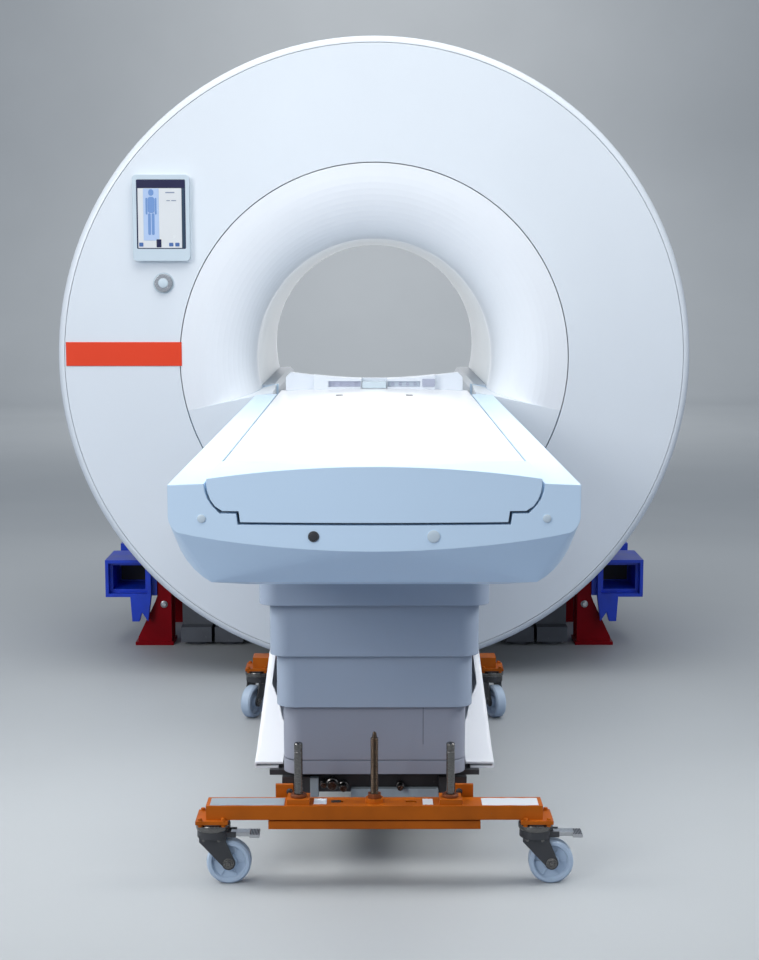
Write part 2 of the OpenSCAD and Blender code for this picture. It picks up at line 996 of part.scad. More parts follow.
module column_tier_upper() {
    color(column_grey)
        tier(tier_half_w, upper_z, tier_h, collar_half_w - tier_wall - seat);
}

module column_tier_middle() {
    color(column_grey)
        tier(middle_half_w, middle_z, tier_h, tier_half_w - tier_wall - seat);
}

module column_base_cover() {
    groove = 3;
    color(column_grey)
        difference() {
            tier(base_half_w, base_z, base_top_z - base_z, middle_half_w - tier_wall - seat);
            translate([0, 0, base_z + strip_h])
                linear_extrude(groove)
                    difference() {
                        tier_outline(base_half_w + 1);
                        tier_outline(base_half_w - groove);
                    }
        }
}

// White skirts beside the column, flared outwards, with an arched front wall and a turned-in foot
flank_top_x = 266;
flank_low_x = 285;
flank_top_z = hull_z - lift_travel - 5;
flank_t = 5;
flank_foot_z = base_z - 4;
flank_front = foot_y + column_setback + 90;
flank_rear = column_y + collar_len / 2 - 110;

module flank_covers() {
    curl = 10;
    inner_x = base_half_w + 3;
    arch_z = flank_foot_z + 20;
    middle_low = middle_z - lift_step;
    upper_low = upper_z - 2 * lift_step;
    collar_low = collar_z - lift_travel;
    color(white)
        for (side = [-1, 1])
            scale([side, 1, 1])
                difference() {
                    union() {
                        along(flank_front, flank_rear)
                            polygon(concat(
                                [[flank_top_x, flank_top_z], [flank_top_x + flank_t, flank_top_z]],
                                arc(flank_low_x - curl, flank_foot_z + curl, curl, 0, -90, 8),
                                [[225, flank_foot_z], [225, flank_foot_z + flank_t]],
                                arc(flank_low_x - curl, flank_foot_z + curl, curl - flank_t, -90, 0, 6)
                            ));
                        along(flank_front, flank_front + flank_t)
                            polygon([
                                [inner_x, flank_foot_z],
                                [inner_x, middle_low - 8],
                                [middle_half_w + 1, middle_low - 2],
                                [tier_half_w + 1, upper_low - 2],
                                [collar_half_w + 1.5, collar_low - 2],
                                [flank_top_x + 1, flank_top_z],
                                [flank_low_x - 1, flank_foot_z + curl],
                                [flank_low_x - curl, flank_foot_z]
                            ]);
                    }
                    along(flank_front - 1, flank_front + 60)
                        polygon([
                            [inner_x + 2, flank_foot_z - 1],
                            [inner_x + 20, arch_z],
                            [flank_low_x - 16, arch_z],
                            [flank_low_x - 4, flank_foot_z - 1]
                        ]);
                }
}

// Telescoping lifting columns inside the covers
stage_low_z = base_z + 8;
stage_h = hull_z - lift_travel - stage_low_z - 6;
stage_half = 85;
stage_wall = 6;
lift_span = 660;

// A pair of square tubes, one near each end of the column
module lift_pair(half, z, h)
    for (y = [-lift_span / 2, lift_span / 2])
        translate([0, column_y + y, z])
            difference() {
                translate([-half, -half, 0])
                    cube([2 * half, 2 * half, h]);
                translate([-half + stage_wall, -half + stage_wall, -1])
                    cube([2 * (half - stage_wall), 2 * (half - stage_wall), h + 2]);
            }

// Half width of a nested stage, counted from the outer one
function stage_size(n) = stage_half - n * (stage_wall + seat);

module lift_outer_tubes() {
    color(steel)
        lift_pair(stage_size(0), base_z, base_top_z - base_z);
}

module lift_lower_tubes() {
    color(steel)
        lift_pair(stage_size(1), stage_low_z + lift_step, stage_h);
}

module lift_upper_tubes() {
    color(steel)
        lift_pair(stage_size(2), stage_low_z + 2 * lift_step, stage_h);
}

module lift_inner_tubes() {
    z = stage_low_z + lift_travel;
    color(steel)
        lift_pair(stage_size(3), z, hull_z - z);
}

// Welded base frame of the table, under the covers
base_frame_top = base_z;
base_frame_low = 150;
base_front = column_y - wheelbase / 2 + 142;
base_rear = column_y + wheelbase / 2 - 142;

module base_frame() {
    runner_x = [150, 215];
    color(dark_steel)
        union() {
            translate([-245, base_front + 16, flank_foot_z - 12])
                cube([490, base_rear - base_front - 32, 12]);
            translate([-222, base_front + 40, flank_foot_z])
                cube([444, base_rear - base_front - 80, base_frame_top - flank_foot_z]);
            for (side = [-1, 1])
                scale([side, 1, 1])
                    translate([runner_x[0], base_front, base_frame_low])
                        cube([runner_x[1] - runner_x[0], base_rear - base_front, flank_foot_z - 12 - base_frame_low]);
            for (y = [base_front + 20, column_y - 30, base_rear - 80])
                translate([-runner_x[0] - 1, y, base_frame_low + 6])
                    cube([2 * runner_x[0] + 2, 60, 40]);
        }
}

// Trolley stations; end is -1 for the front trolley and 1 for the rear one
beam_low_z = beam_top_z - beam_h;
beam_wall = 5;
swivel_x = 362;
sleeve_h = 12;
bar_w = 474;
bar_h = 19;
bar_top_z = beam_low_z - 5;
bar_low_z = bar_top_z - bar_h;
bar_d = 46;
upright_h = 82;
pin_top_z = beam_top_z + sleeve_h + trolley_travel + 4;
spindle_top_z = pin_top_z + 25;
spindle_r = 9;
run = 0.05;

// Puts a trolley's piece at the front or rear end of the table
module at_end(end)
    translate([0, column_y, 0])
        scale([1, end, 1])
            translate([0, wheelbase / 2, 0])
                children();

// Bracket bolted to the base frame: lower bar, two uprights and their spacers
module trolley_bracket() {
    upright_x = [184, 224];
    upright_y = -beam_d / 2 - 20;
    reach = wheelbase / 2 - (base_rear - column_y);
    difference() {
        union() {
            translate([-bar_w / 2, -bar_d / 2 - 20, bar_low_z])
                cube([bar_w, bar_d + 20, bar_h]);
            for (side = [-1, 1])
                scale([side, 1, 1]) {
                    translate([upright_x[0], upright_y, bar_low_z])
                        cube([upright_x[1] - upright_x[0], 10, upright_h]);
                    translate([upright_x[0] + 4, -reach, base_frame_low + 4])
                        cube([28, reach + upright_y, 26]);
                }
        }
        for (side = [-1, 1])
            translate([side * pin_spacing / 2, 0, 0])
                cylinder(h = bar_top_z + 1, r = pin_r);
        cylinder(h = bar_top_z + 1, r = spindle_r);
        for (side = [-1, 1])
            translate([side * (upright_x[0] + 8), upright_y - 1, bar_low_z + upright_h - 16])
                rotate([-90, 0, 0])
                    cylinder(h = 12, r = 4);
    }
}

module trolley_brackets() {
    color(orange)
        for (end = [-1, 1])
            at_end(end)
                trolley_bracket();
}

// Smooth guide pins and threaded spindles, standing in the brackets
module trolley_rods() {
    z0 = bar_low_z;
    color(steel)
        for (end = [-1, 1])
            at_end(end) {
                for (side = [-1, 1])
                    translate([side * pin_spacing / 2, 0, z0]) {
                        cylinder(h = pin_top_z - z0 - 2, r = pin_r);
                        translate([0, 0, pin_top_z - z0 - 2])
                            cylinder(h = 2, r = pin_r - 2);
                    }
                translate([0, 0, z0]) {
                    cylinder(h = spindle_top_z - z0 - 14, r = spindle_r);
                    translate([0, 0, spindle_top_z - z0 - 14])
                        cylinder(h = 14, r = 5.5);
                }
            }
}

// Beam with its sleeves, slots and castor plates; it rises along the guide pins
module trolley_beam() {
    sleeve = 50;
    slot_x = 82;
    plate_w = 72;
    plate_d = 84;
    difference() {
        union() {
            difference() {
                translate([-beam_len / 2, -beam_d / 2, beam_low_z])
                    cube([beam_len, beam_d, beam_h]);
                translate([-beam_len / 2 - 1, -beam_d / 2 + beam_wall, beam_low_z + beam_wall])
                    cube([beam_len + 2, beam_d - 2 * beam_wall, beam_h - 2 * beam_wall]);
            }
            for (side = [-1, 1]) {
                translate([side * pin_spacing / 2 - sleeve / 2, -sleeve / 2, beam_top_z])
                    cube([sleeve, sleeve, sleeve_h]);
                translate([side * swivel_x - plate_w / 2, -plate_d / 2, beam_low_z - 8])
                    cube([plate_w, plate_d, 8]);
                translate([side * (beam_len / 2 - 3) - 3, -beam_d / 2 + 1, beam_low_z + 1])
                    cube([6, beam_d - 2, beam_h - 2]);
            }
            translate([0, 0, beam_top_z])
                cylinder(h = 10, r = 20);
        }
        for (side = [-1, 1]) {
            translate([side * pin_spacing / 2, 0, 0])
                cylinder(h = big, r = pin_r + run);
            translate([side * swivel_x, 0, 0])
                cylinder(h = beam_low_z + 2 * beam_wall, r = stud_r + run);
            translate([side * slot_x - 12, -5, beam_top_z - beam_wall - 1])
                cube([24, 10, beam_wall + 2]);
        }
        cylinder(h = big, r = spindle_r + run);
    }
}

module front_beam() {
    color(orange)
        at_end(-1)
            trolley_beam();
}

module rear_beam() {
    color(orange)
        at_end(1)
            trolley_beam();
}

// Castors: place of each swivel axis and the way its wheel trails
stud_r = 8;
axle_r = 6;
leg_t = 4;
leg_gap = 3;
fork_top = beam_low_z - 8 - seat;
castor_list = [
    [-swivel_x, -1, 0],
    [swivel_x, -1, 0],
    [-swivel_x, 1, -115],
    [swivel_x, 1, -70]
];

module at_castor(n)
    translate([castor_list[n][0], column_y + castor_list[n][1] * wheelbase / 2, 0])
        rotate([0, 0, castor_list[n][2]])
            children();

// Swivelling fork with its stud, race and axle
module castor_fork(n) {
    leg_y = wheel_w / 2 + leg_gap;
    crown_z = wheel_r * 2 + 8;
    color(dark_steel)
        at_castor(n)
            union() {
                translate([0, 0, crown_z])
                    cylinder(h = fork_top - crown_z, r = 36);
                translate([0, 0, fork_top - 1])
                    cylinder(h = beam_low_z + beam_wall - fork_top + 4, r = stud_r);
                for (side = [-1, 1])
                    translate([0, side * (leg_y + leg_t / 2) + leg_t / 2, 0])
                        rotate([90, 0, 0])
                            linear_extrude(leg_t)
                                difference() {
                                    polygon(concat(
                                        [[-30, crown_z + 6], [-30, crown_z - 8]],
                                        arc(castor_trail, wheel_r, 15, 200, 380, 10),
                                        [[30, crown_z - 8], [30, crown_z + 6]]
                                    ));
                                }
                translate([castor_trail, leg_y + leg_t + 5, wheel_r])
                    rotate([90, 0, 0])
                        cylinder(h = 2 * (leg_y + leg_t + 5), r = axle_r);
                if (castor_list[n][1] < 0)
                    pedal_lugs();
            }
}

// Nylon wheel with a hub and dished faces
module castor_wheel(n) {
    hub_r = 17;
    half = wheel_w / 2;
    color([0.82, 0.88, 0.95])
        at_castor(n)
            translate([castor_trail, 0, wheel_r])
                rotate([90, 0, 0])
                    rotate_extrude($fn = 72)
                        polygon([
                            [axle_r + run, -half - 1.5],
                            [hub_r, -half - 1.5],
                            [hub_r + 2, -half + 8],
                            [wheel_r - 14, -half + 8],
                            [wheel_r - 11, -half],
                            [wheel_r - 4, -half],
                            [wheel_r, -half + 5],
                            [wheel_r, half - 5],
                            [wheel_r - 4, half],
                            [wheel_r - 11, half],
                            [wheel_r - 14, half - 8],
                            [hub_r + 2, half - 8],
                            [hub_r, half + 1.5],
                            [axle_r + run, half + 1.5]
                        ]);
}

// Foot pedal of a front castor's brake, hinged on a pin behind the fork's crown
pedal_x = 46;
pedal_z = wheel_r * 2 + 14;
pedal_half = 13;
pedal_pin_r = 3;

// Two lugs on the fork's crown with the pin between them
module pedal_lugs() {
    lug_t = 5;
    for (side = [-1, 1])
        translate([30, side * (pedal_half + seat + lug_t / 2) - lug_t / 2, pedal_z - 5])
            cube([pedal_x - 30 + 6, lug_t, 12]);
    translate([pedal_x, pedal_half + seat + lug_t, pedal_z])
        rotate([90, 0, 0])
            cylinder(h = 2 * (pedal_half + seat + lug_t), r = pedal_pin_r);
}

module brake_pedal(n) {
    color([0.75, 0.76, 0.78])
        at_castor(n)
            difference() {
                union() {
                    translate([pedal_x - 6, -pedal_half, pedal_z - 4])
                        cube([44, 2 * pedal_half, 9]);
                    translate([pedal_x + 36, -20, pedal_z - 5])
                        cube([22, 40, 7]);
                }
                translate([pedal_x, pedal_half + 1, pedal_z])
                    rotate([90, 0, 0])
                        cylinder(h = 2 * pedal_half + 2, r = pedal_pin_r + run);
            }
}

front_cover();
front_rim();
front_funnel();
front_lower_panel();
rear_cover();
rear_funnel();
side_cover(-1);  // side_cover_left
side_cover(1);  // side_cover_right
cover_frames();
bore_liner();
bore_bridge();
bore_rails();
body_coil();
gradient_coil();
vessel_shell();
vessel_end();
coil_former();
main_coils();
shield_coils();
cold_head();
magnet_base();
red_feet();
jack_pockets();
display_housing();
display_glass();
dial_ring();
dial_button();
side_tag();
tabletop();
tabletop_end_cap();
head_sockets();
table_frame();
guide_rails();
linear_drive();
drive_carriage();
front_caps();
column_collar();
column_tier_upper();
column_tier_middle();
column_base_cover();
flank_covers();
lift_outer_tubes();
lift_lower_tubes();
lift_upper_tubes();
lift_inner_tubes();
base_frame();
trolley_brackets();
trolley_rods();
front_beam();
rear_beam();
castor_fork(0);  // castor_fork_1
castor_fork(1);  // castor_fork_2
castor_fork(2);  // castor_fork_3
castor_fork(3);  // castor_fork_4
castor_wheel(0);  // castor_wheel_1
castor_wheel(1);  // castor_wheel_2
castor_wheel(2);  // castor_wheel_3
castor_wheel(3);  // castor_wheel_4
brake_pedal(0);  // brake_pedal_1
brake_pedal(1);  // brake_pedal_2
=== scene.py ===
"""Looks of a round-faced MRI scanner and its patient table on orange castor trolleys."""

import json
import math

import bmesh
import bpy
from mathutils import Matrix, Vector


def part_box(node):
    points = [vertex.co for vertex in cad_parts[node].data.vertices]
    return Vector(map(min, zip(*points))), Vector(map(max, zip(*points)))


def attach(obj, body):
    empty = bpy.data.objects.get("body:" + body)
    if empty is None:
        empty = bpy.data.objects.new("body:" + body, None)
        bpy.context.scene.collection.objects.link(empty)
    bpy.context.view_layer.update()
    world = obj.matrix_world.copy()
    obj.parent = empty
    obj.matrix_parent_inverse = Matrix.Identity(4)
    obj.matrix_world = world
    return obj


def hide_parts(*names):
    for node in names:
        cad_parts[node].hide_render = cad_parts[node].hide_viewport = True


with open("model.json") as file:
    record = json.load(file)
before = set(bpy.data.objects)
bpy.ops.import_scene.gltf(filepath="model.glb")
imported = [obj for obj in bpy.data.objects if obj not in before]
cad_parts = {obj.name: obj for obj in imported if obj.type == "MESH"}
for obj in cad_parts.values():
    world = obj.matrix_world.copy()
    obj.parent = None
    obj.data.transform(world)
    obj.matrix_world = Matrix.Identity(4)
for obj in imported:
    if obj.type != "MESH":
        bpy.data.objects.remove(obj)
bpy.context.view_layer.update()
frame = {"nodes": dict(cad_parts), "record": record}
nodes = frame["nodes"]
scene = bpy.context.scene

# Driving places in metres, most of them taken from the frame; y runs from the table to the gantry
FACE_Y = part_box("front_cover")[0].y
AXIS_Z = (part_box("front_cover")[0].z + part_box("front_cover")[1].z) / 2
TABLE_END_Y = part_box("table_frame")[0].y
TABLE_TOP_Z = 0.966
FLOOR_Z = 0.0


# Camera, solved from the photo: metres, degrees, and a focal length in the photo's pixels
PHOTO_H = 960
CAMERA_DISTANCE = 5.362
CAMERA_HEIGHT = 1.358
CAMERA_TILT = 7.246
CAMERA_YAW = 0.185
FOCAL_PX = 1614
SENSOR_MM = 36.0
SIGHT = 60.0


def make_camera():
    """Stands at eye height before the table's foot end and looks slightly down."""
    data = bpy.data.cameras.new("photo_camera")
    data.sensor_fit = "AUTO"
    data.sensor_width = SENSOR_MM
    data.lens = FOCAL_PX * data.sensor_width / PHOTO_H
    data.clip_end = SIGHT
    camera = bpy.data.objects.new("photo_camera", data)
    camera.location = (0.0, FACE_Y - CAMERA_DISTANCE, CAMERA_HEIGHT)
    camera.rotation_euler = (math.radians(90 - CAMERA_TILT), 0.0, math.radians(-CAMERA_YAW))
    scene.collection.objects.link(camera)
    scene.camera = camera


# Materials
SOFT_EDGE = 0.0022
STREAK_SHADE = 0.72
GRIME = 0.25
PAINT_RELIEF = 0.0002


def new_material(name, color, roughness, metallic=0.0):
    """A material with its principled shader; constant values sit on the shader's own sockets."""
    material = bpy.data.materials.new(name)
    material.use_nodes = True
    shader = material.node_tree.nodes["Principled BSDF"]
    shader.inputs["Base Color"].default_value = (*color, 1.0)
    shader.inputs["Roughness"].default_value = roughness
    shader.inputs["Metallic"].default_value = metallic
    return material, material.node_tree, shader


def noise(tree, scale, detail, stretch=(1, 1, 1)):
    """Noise in the object's own coordinates, stretched along an axis where it is brushed."""
    coords = tree.nodes.new("ShaderNodeTexCoord")
    mapping = tree.nodes.new("ShaderNodeMapping")
    mapping.inputs["Scale"].default_value = stretch
    texture = tree.nodes.new("ShaderNodeTexNoise")
    texture.inputs["Scale"].default_value = scale
    texture.inputs["Detail"].default_value = detail
    tree.links.new(coords.outputs["Object"], mapping.inputs["Vector"])
    tree.links.new(mapping.outputs["Vector"], texture.inputs["Vector"])
    return texture.outputs["Fac"]


def ramp(tree, value, stops):
    """Colour ramp driven by a value; stops are (place, colour)."""
    node = tree.nodes.new("ShaderNodeValToRGB")
    elements = node.color_ramp.elements
    for element, (place, color) in zip(elements, stops):
        element.position = place
        element.color = (*color, 1.0)
    tree.links.new(value, node.inputs["Fac"])
    return node.outputs["Color"]


def spread(tree, value, low, high):
    """Maps a 0 to 1 value to a range."""
    node = tree.nodes.new("ShaderNodeMapRange")
    node.inputs["To Min"].default_value = low
    node.inputs["To Max"].default_value = high
    tree.links.new(value, node.inputs["Value"])
    return node.outputs["Result"]


def mixed(tree, factor, first, second):
    """Mix of two colours; either one is a constant or another node's output."""
    mix = tree.nodes.new("ShaderNodeMix")
    mix.data_type = "RGBA"
    for socket, color in (("A", first), ("B", second)):
        if isinstance(color, tuple):
            mix.inputs[socket].default_value = (*color, 1.0)
        else:
            tree.links.new(color, mix.inputs[socket])
    tree.links.new(factor, mix.inputs["Factor"])
    return mix.outputs["Result"]


def darker(color, share):
    """A colour at a share of its brightness."""
    return tuple(c * share for c in color)


def add_bump(tree, shader, height, distance, strength=0.4):
    """Fine relief over softened edges; the distance is in metres."""
    bump = tree.nodes.new("ShaderNodeBump")
    soft = tree.nodes.new("ShaderNodeBevel")
    soft.samples = 4
    soft.inputs["Radius"].default_value = SOFT_EDGE
    tree.links.new(soft.outputs["Normal"], bump.inputs["Normal"])
    bump.inputs["Strength"].default_value = strength
    bump.inputs["Distance"].default_value = distance
    tree.links.new(height, bump.inputs["Height"])
    tree.links.new(bump.outputs["Normal"], shader.inputs["Normal"])


def moulded(name, color, roughness, shade=0.03, grain=900, relief=0.00012, coat=0.0):
    """Moulded or lacquered plastic: slight colour drift, uneven gloss and a fine skin."""
    material, tree, shader = new_material(name, color, roughness)
    drift = ramp(tree, noise(tree, 2.2, 4), [(0.3, darker(color, 1 - shade)), (0.7, color)])
    tree.links.new(drift, shader.inputs["Base Color"])
    rough = spread(tree, noise(tree, 14, 3), roughness - 0.05, roughness + 0.06)
    tree.links.new(rough, shader.inputs["Roughness"])
    add_bump(tree, shader, noise(tree, grain, 2), relief)
    shader.inputs["Coat Weight"].default_value = coat
    shader.inputs["Coat Roughness"].default_value = 0.12
    return material


def metal(name, color, roughness, stretch=(1, 1, 1), scale=180, relief=0.0001):
    """Bare metal with brushed or turned streaks."""
    material, tree, shader = new_material(name, color, roughness, 1.0)
    streaks = noise(tree, scale, 5, stretch)
    tone = ramp(tree, streaks, [(0.3, darker(color, STREAK_SHADE)), (0.7, color)])
    tree.links.new(tone, shader.inputs["Base Color"])
    rough = spread(tree, streaks, roughness - 0.08, roughness + 0.12)
    tree.links.new(rough, shader.inputs["Roughness"])
    add_bump(tree, shader, streaks, relief)
    return material


def painted(name, color, roughness, worn, wear=0.62, gloss=0.5):
    """Paint with grime in patches and scuffs down to another colour."""
    material, tree, shader = new_material(name, color, roughness)
    shader.inputs["Specular IOR Level"].default_value = gloss
    patches = noise(tree, 9, 6)
    base = ramp(tree, patches, [(0.35, darker(color, 1 - GRIME)), (0.6, color)])
    scratches = noise(tree, 260, 6, (1, 1, 0.35))
    mask = ramp(tree, scratches, [(wear, (0, 0, 0)), (wear + 0.035, (1, 1, 1))])
    tree.links.new(mixed(tree, mask, base, worn), shader.inputs["Base Color"])
    rough = spread(tree, patches, roughness - 0.08, roughness + 0.15)
    tree.links.new(rough, shader.inputs["Roughness"])
    add_bump(tree, shader, scratches, PAINT_RELIEF, 0.25)
    return material


# Name, kind, colour, roughness and the kind's own options. The slots' finishes come first.
FINISHES = (
    ("cover_white", moulded, (0.81, 0.86, 0.90), 0.32, {"coat": 0.15}),
    # The white covers' plastic with bluish shade painted into its colour
    ("cover_shade", moulded, (0.67, 0.84, 1.0), 0.36, {}),
    ("table_white", moulded, (0.86, 0.875, 0.89), 0.30,
     {"shade": 0.02, "grain": 500, "relief": 0.00002}),
    ("column_grey", moulded, (0.33, 0.39, 0.48), 0.5, {"grain": 600, "relief": 0.0002}),
    ("bright_steel", metal, (0.52, 0.53, 0.55), 0.3, {"stretch": (1, 1, 12)}),
    ("dark_steel", painted, (0.035, 0.036, 0.04), 0.42, {"worn": (0.14, 0.14, 0.14), "wear": 0.7}),
    ("vessel_steel", metal, (0.45, 0.46, 0.48), 0.42, {"stretch": (1, 9, 1)}),
    ("base_grey", painted, (0.11, 0.12, 0.14), 0.5, {"worn": (0.2, 0.2, 0.21), "wear": 0.7}),
    ("winding", moulded, (0.42, 0.16, 0.04), 0.5, {"shade": 0.3}),
    ("gradient_resin", moulded, (0.25, 0.2, 0.1), 0.5, {"shade": 0.2}),
    ("red_paint", painted, (0.30, 0.0006, 0.006), 0.4,
     {"worn": (0.07, 0.008, 0.008), "wear": 0.7, "gloss": 0.12}),
    ("blue_paint", painted, (0.008, 0.060, 0.68), 0.32, {"worn": (0.1, 0.14, 0.3), "wear": 0.7}),
    ("orange_paint", painted, (0.47, 0.105, 0.002), 0.48,
     {"worn": (0.2, 0.1, 0.05), "wear": 0.7, "gloss": 0.2}),
    ("tag_orange", moulded, (0.86, 0.050, 0.006), 0.42, {"shade": 0.02}),
    ("screen_glass", moulded, (0.012, 0.02, 0.07), 0.12, {"coat": 0.6}),
    ("panel_plastic", moulded, (0.62, 0.72, 0.78), 0.34, {}),
    ("nylon", moulded, (0.48, 0.59, 0.72), 0.4, {"shade": 0.16}),
    ("rail_grey", moulded, (0.50, 0.56, 0.63), 0.4, {"shade": 0.08}),
    ("drive_grey", painted, (0.08, 0.085, 0.095), 0.5, {"worn": (0.2, 0.2, 0.2)}),
    # Finishes of the added pieces and of the nodes in REDRESSED
    ("tape_white", moulded, (0.72, 0.75, 0.78), 0.55,
     {"shade": 0.12, "grain": 400, "relief": 0.0002}),
    ("tape_grey", moulded, (0.36, 0.42, 0.46), 0.5,
     {"shade": 0.2, "grain": 400, "relief": 0.0002}),
    ("flank_white", moulded, (0.84, 0.85, 0.87), 0.36, {}),
    ("foot_grey", moulded, (0.29, 0.31, 0.37), 0.5, {"shade": 0.12}),
    ("pin_grey", metal, (0.17, 0.165, 0.16), 0.24, {"stretch": (1, 1, 14)}),
    ("brown_paint", painted, (0.17, 0.040, 0.006), 0.45,
     {"worn": (0.3, 0.2, 0.12), "wear": 0.66, "gloss": 0.3}),
    ("console_white", moulded, (0.76, 0.81, 0.87), 0.36, {}),
    ("liner_white", moulded, (0.70, 0.76, 0.79), 0.36, {}),
    ("dial_chrome", metal, (0.80, 0.82, 0.85), 0.2, {"stretch": (1, 1, 6)}),
    # Lighter copy of the cover white: painted light on the front funnel
    ("funnel_white", moulded, (0.89, 0.92, 0.95), 0.36, {}),
    ("lilac", moulded, (0.42, 0.45, 0.56), 0.45, {"shade": 0.08}),
    ("plate_lilac", moulded, (0.60, 0.62, 0.75), 0.45, {"shade": 0.08}),
    ("plate_grey", moulded, (0.66, 0.73, 0.81), 0.45, {"shade": 0.08}),
    # Near black: painted shade in the pocket backs, the tabletop's slots and the beam's slot, and the
    # dark joint of the cover seam
    ("slot_dark", moulded, (0.016, 0.017, 0.019), 0.6, {"shade": 0.1}),
    ("thread_brown", metal, (0.085, 0.062, 0.045), 0.38, {"scale": 120, "relief": 0.0002}),
)
# Nodes whose tone as seen differs a little from that of their slot: their own colour, except the
# front funnel's lighter white, which is painted light
REDRESSED = (
    ("column_base_cover", "foot_grey"),
    ("dial_ring", "dial_chrome"),
    ("head_sockets", "console_white"),
    ("bore_liner", "liner_white"),
    ("bore_bridge", "liner_white"),
    ("front_funnel", "funnel_white"),
)


def make_materials():
    """Every finish by its name."""
    found = {}
    for name, kind, color, roughness, options in FINISHES:
        found[name] = kind(name, color, roughness, **options)
    return found


def dress_nodes():
    """Gives each CAD node the material of its slot, and a few nodes a tone of their own; the front
    funnel's lighter one is painted light.
    """
    slots = [(part["node"], part["material_slot"]) for part in frame["record"]["subparts"]]
    for node, finish in slots + list(REDRESSED):
        mesh = nodes[node].data
        mesh.materials.clear()
        mesh.materials.append(materials[finish])


# Building blocks for the added pieces
def moved(x, y, z):
    """Matrix of a shift."""
    return Matrix.Translation((x, y, z))


def turned(degrees, axis):
    """Matrix of a turn about one axis."""
    return Matrix.Rotation(math.radians(degrees), 4, axis)


def aimed(place, axis):
    """Matrix of a piece that stands at a place with its own z axis along a direction."""
    return Matrix.Translation(place) @ Vector(axis).to_track_quat("Z", "Y").to_matrix().to_4x4()


def on_face(x, z, lift):
    """Matrix of a flat piece on the gantry's face: x to the right, y up, z towards the front."""
    return moved(x, FACE_Y - lift, z) @ turned(90, "X")


def add_lathe(bm, profile, matrix, steps, closed=False):
    """Revolves (radius, height) points round the matrix's z axis."""
    rings = []
    for radius, height in profile:
        turns = 1 if radius < 1e-6 else steps
        angles = [2 * math.pi * i / steps for i in range(turns)]
        points = [(radius * math.cos(a), radius * math.sin(a), height) for a in angles]
        rings.append([bm.verts.new(matrix @ Vector(point)) for point in points])
    pairs = list(zip(rings, rings[1:]))
    if closed:
        pairs.append((rings[-1], rings[0]))
    for low, high in pairs:
        for i in range(steps):
            j = (i + 1) % steps
            corners = [low[i % len(low)], low[j % len(low)]]
            corners += [high[j % len(high)], high[i % len(high)]]
            corners = [c for k, c in enumerate(corners) if c not in corners[:k]]
            if len(corners) > 2:
                bm.faces.new(corners)


def add_sides(bm, near, far):
    """Quads between two rings of equal length."""
    count = len(near)
    for i in range(count):
        j = (i + 1) % count
        bm.faces.new((near[i], near[j], far[j], far[i]))


def add_loft(bm, rings):
    """Joins closed rings of equal length into one skin with closed ends."""
    rings = [[bm.verts.new(point) for point in ring] for ring in rings]
    bm.faces.new(rings[0])
    bm.faces.new(rings[-1])
    for near, far in zip(rings, rings[1:]):
        add_sides(bm, near, far)


def add_prism(bm, outline, low, high, matrix=Matrix()):
    """Draws a flat outline from one height to another along the matrix's z axis."""
    add_loft(bm, [[matrix @ Vector((x, y, z)) for x, y in outline] for z in (low, high)])


def add_box(bm, low, high, matrix=Matrix()):
    """A box between two corners."""
    corners = [(low[0], low[1]), (high[0], low[1]), (high[0], high[1]), (low[0], high[1])]
    add_prism(bm, corners, low[2], high[2], matrix)


def add_prism_ring(bm, outline, hole, low, high, matrix, steps=36):
    """A prism with a round hole through it."""
    count = len(outline)
    rim = []
    for i in range(steps):
        t = i / steps * count
        a, b = outline[int(t) % count], outline[(int(t) + 1) % count]
        f = t - int(t)
        rim.append((a[0] + (b[0] - a[0]) * f, a[1] + (b[1] - a[1]) * f))
    bore = [(hole * x / math.hypot(x, y), hole * y / math.hypot(x, y)) for x, y in rim]
    layers = [(rim, low), (rim, high), (bore, high), (bore, low)]
    loops = [[bm.verts.new(matrix @ Vector((x, y, z))) for x, y in ring] for ring, z in layers]
    for below, above in zip(loops, loops[1:] + loops[:1]):
        add_sides(bm, below, above)


def add_thread(bm, matrix, low, high, crest, root, pitch, steps=28, rows_per_turn=6):
    """A threaded rod between two heights, with flat crests and roots and steep flanks."""
    rows = int((high - low) / pitch * rows_per_turn)
    rings = []
    for row in range(rows + 1):
        z = low + (high - low) * row / rows
        ring = []
        for i in range(steps):
            phase = (z / pitch - i / steps) % 1.0
            depth = min(1.0, max(0.0, 2.6 * abs(phase - 0.5) - 0.15))
            a = 2 * math.pi * i / steps
            radius = crest - (crest - root) * depth
            ring.append(matrix @ Vector((radius * math.cos(a), radius * math.sin(a), z)))
        rings.append(ring)
    add_loft(bm, rings)


def dome(rim, radius, rise, angles):
    """Profile of a low dome with a small step at its rim."""
    arc = [(radius * math.cos(a), rise * math.sin(a)) for a in angles]
    return [(rim, 0)] + arc + [(0, rise)]


def polygon(sides, radius, turn=0.0):
    """Corners of a regular polygon."""
    angles = [turn + 2 * math.pi * i / sides for i in range(sides)]
    return [(radius * math.cos(a), radius * math.sin(a)) for a in angles]


def rounded_outline(width, height, radius, centre):
    """Outline of a rectangle with round corners."""
    points = []
    for corner, (sx, sy) in enumerate([(1, 1), (-1, 1), (-1, -1), (1, -1)]):
        for step in range(5):
            a = math.radians(90 * corner + 22.5 * step)
            x = centre[0] + sx * (width / 2 - radius) + radius * math.cos(a)
            y = centre[1] + sy * (height / 2 - radius) + radius * math.sin(a)
            points.append((x, y))
    return points


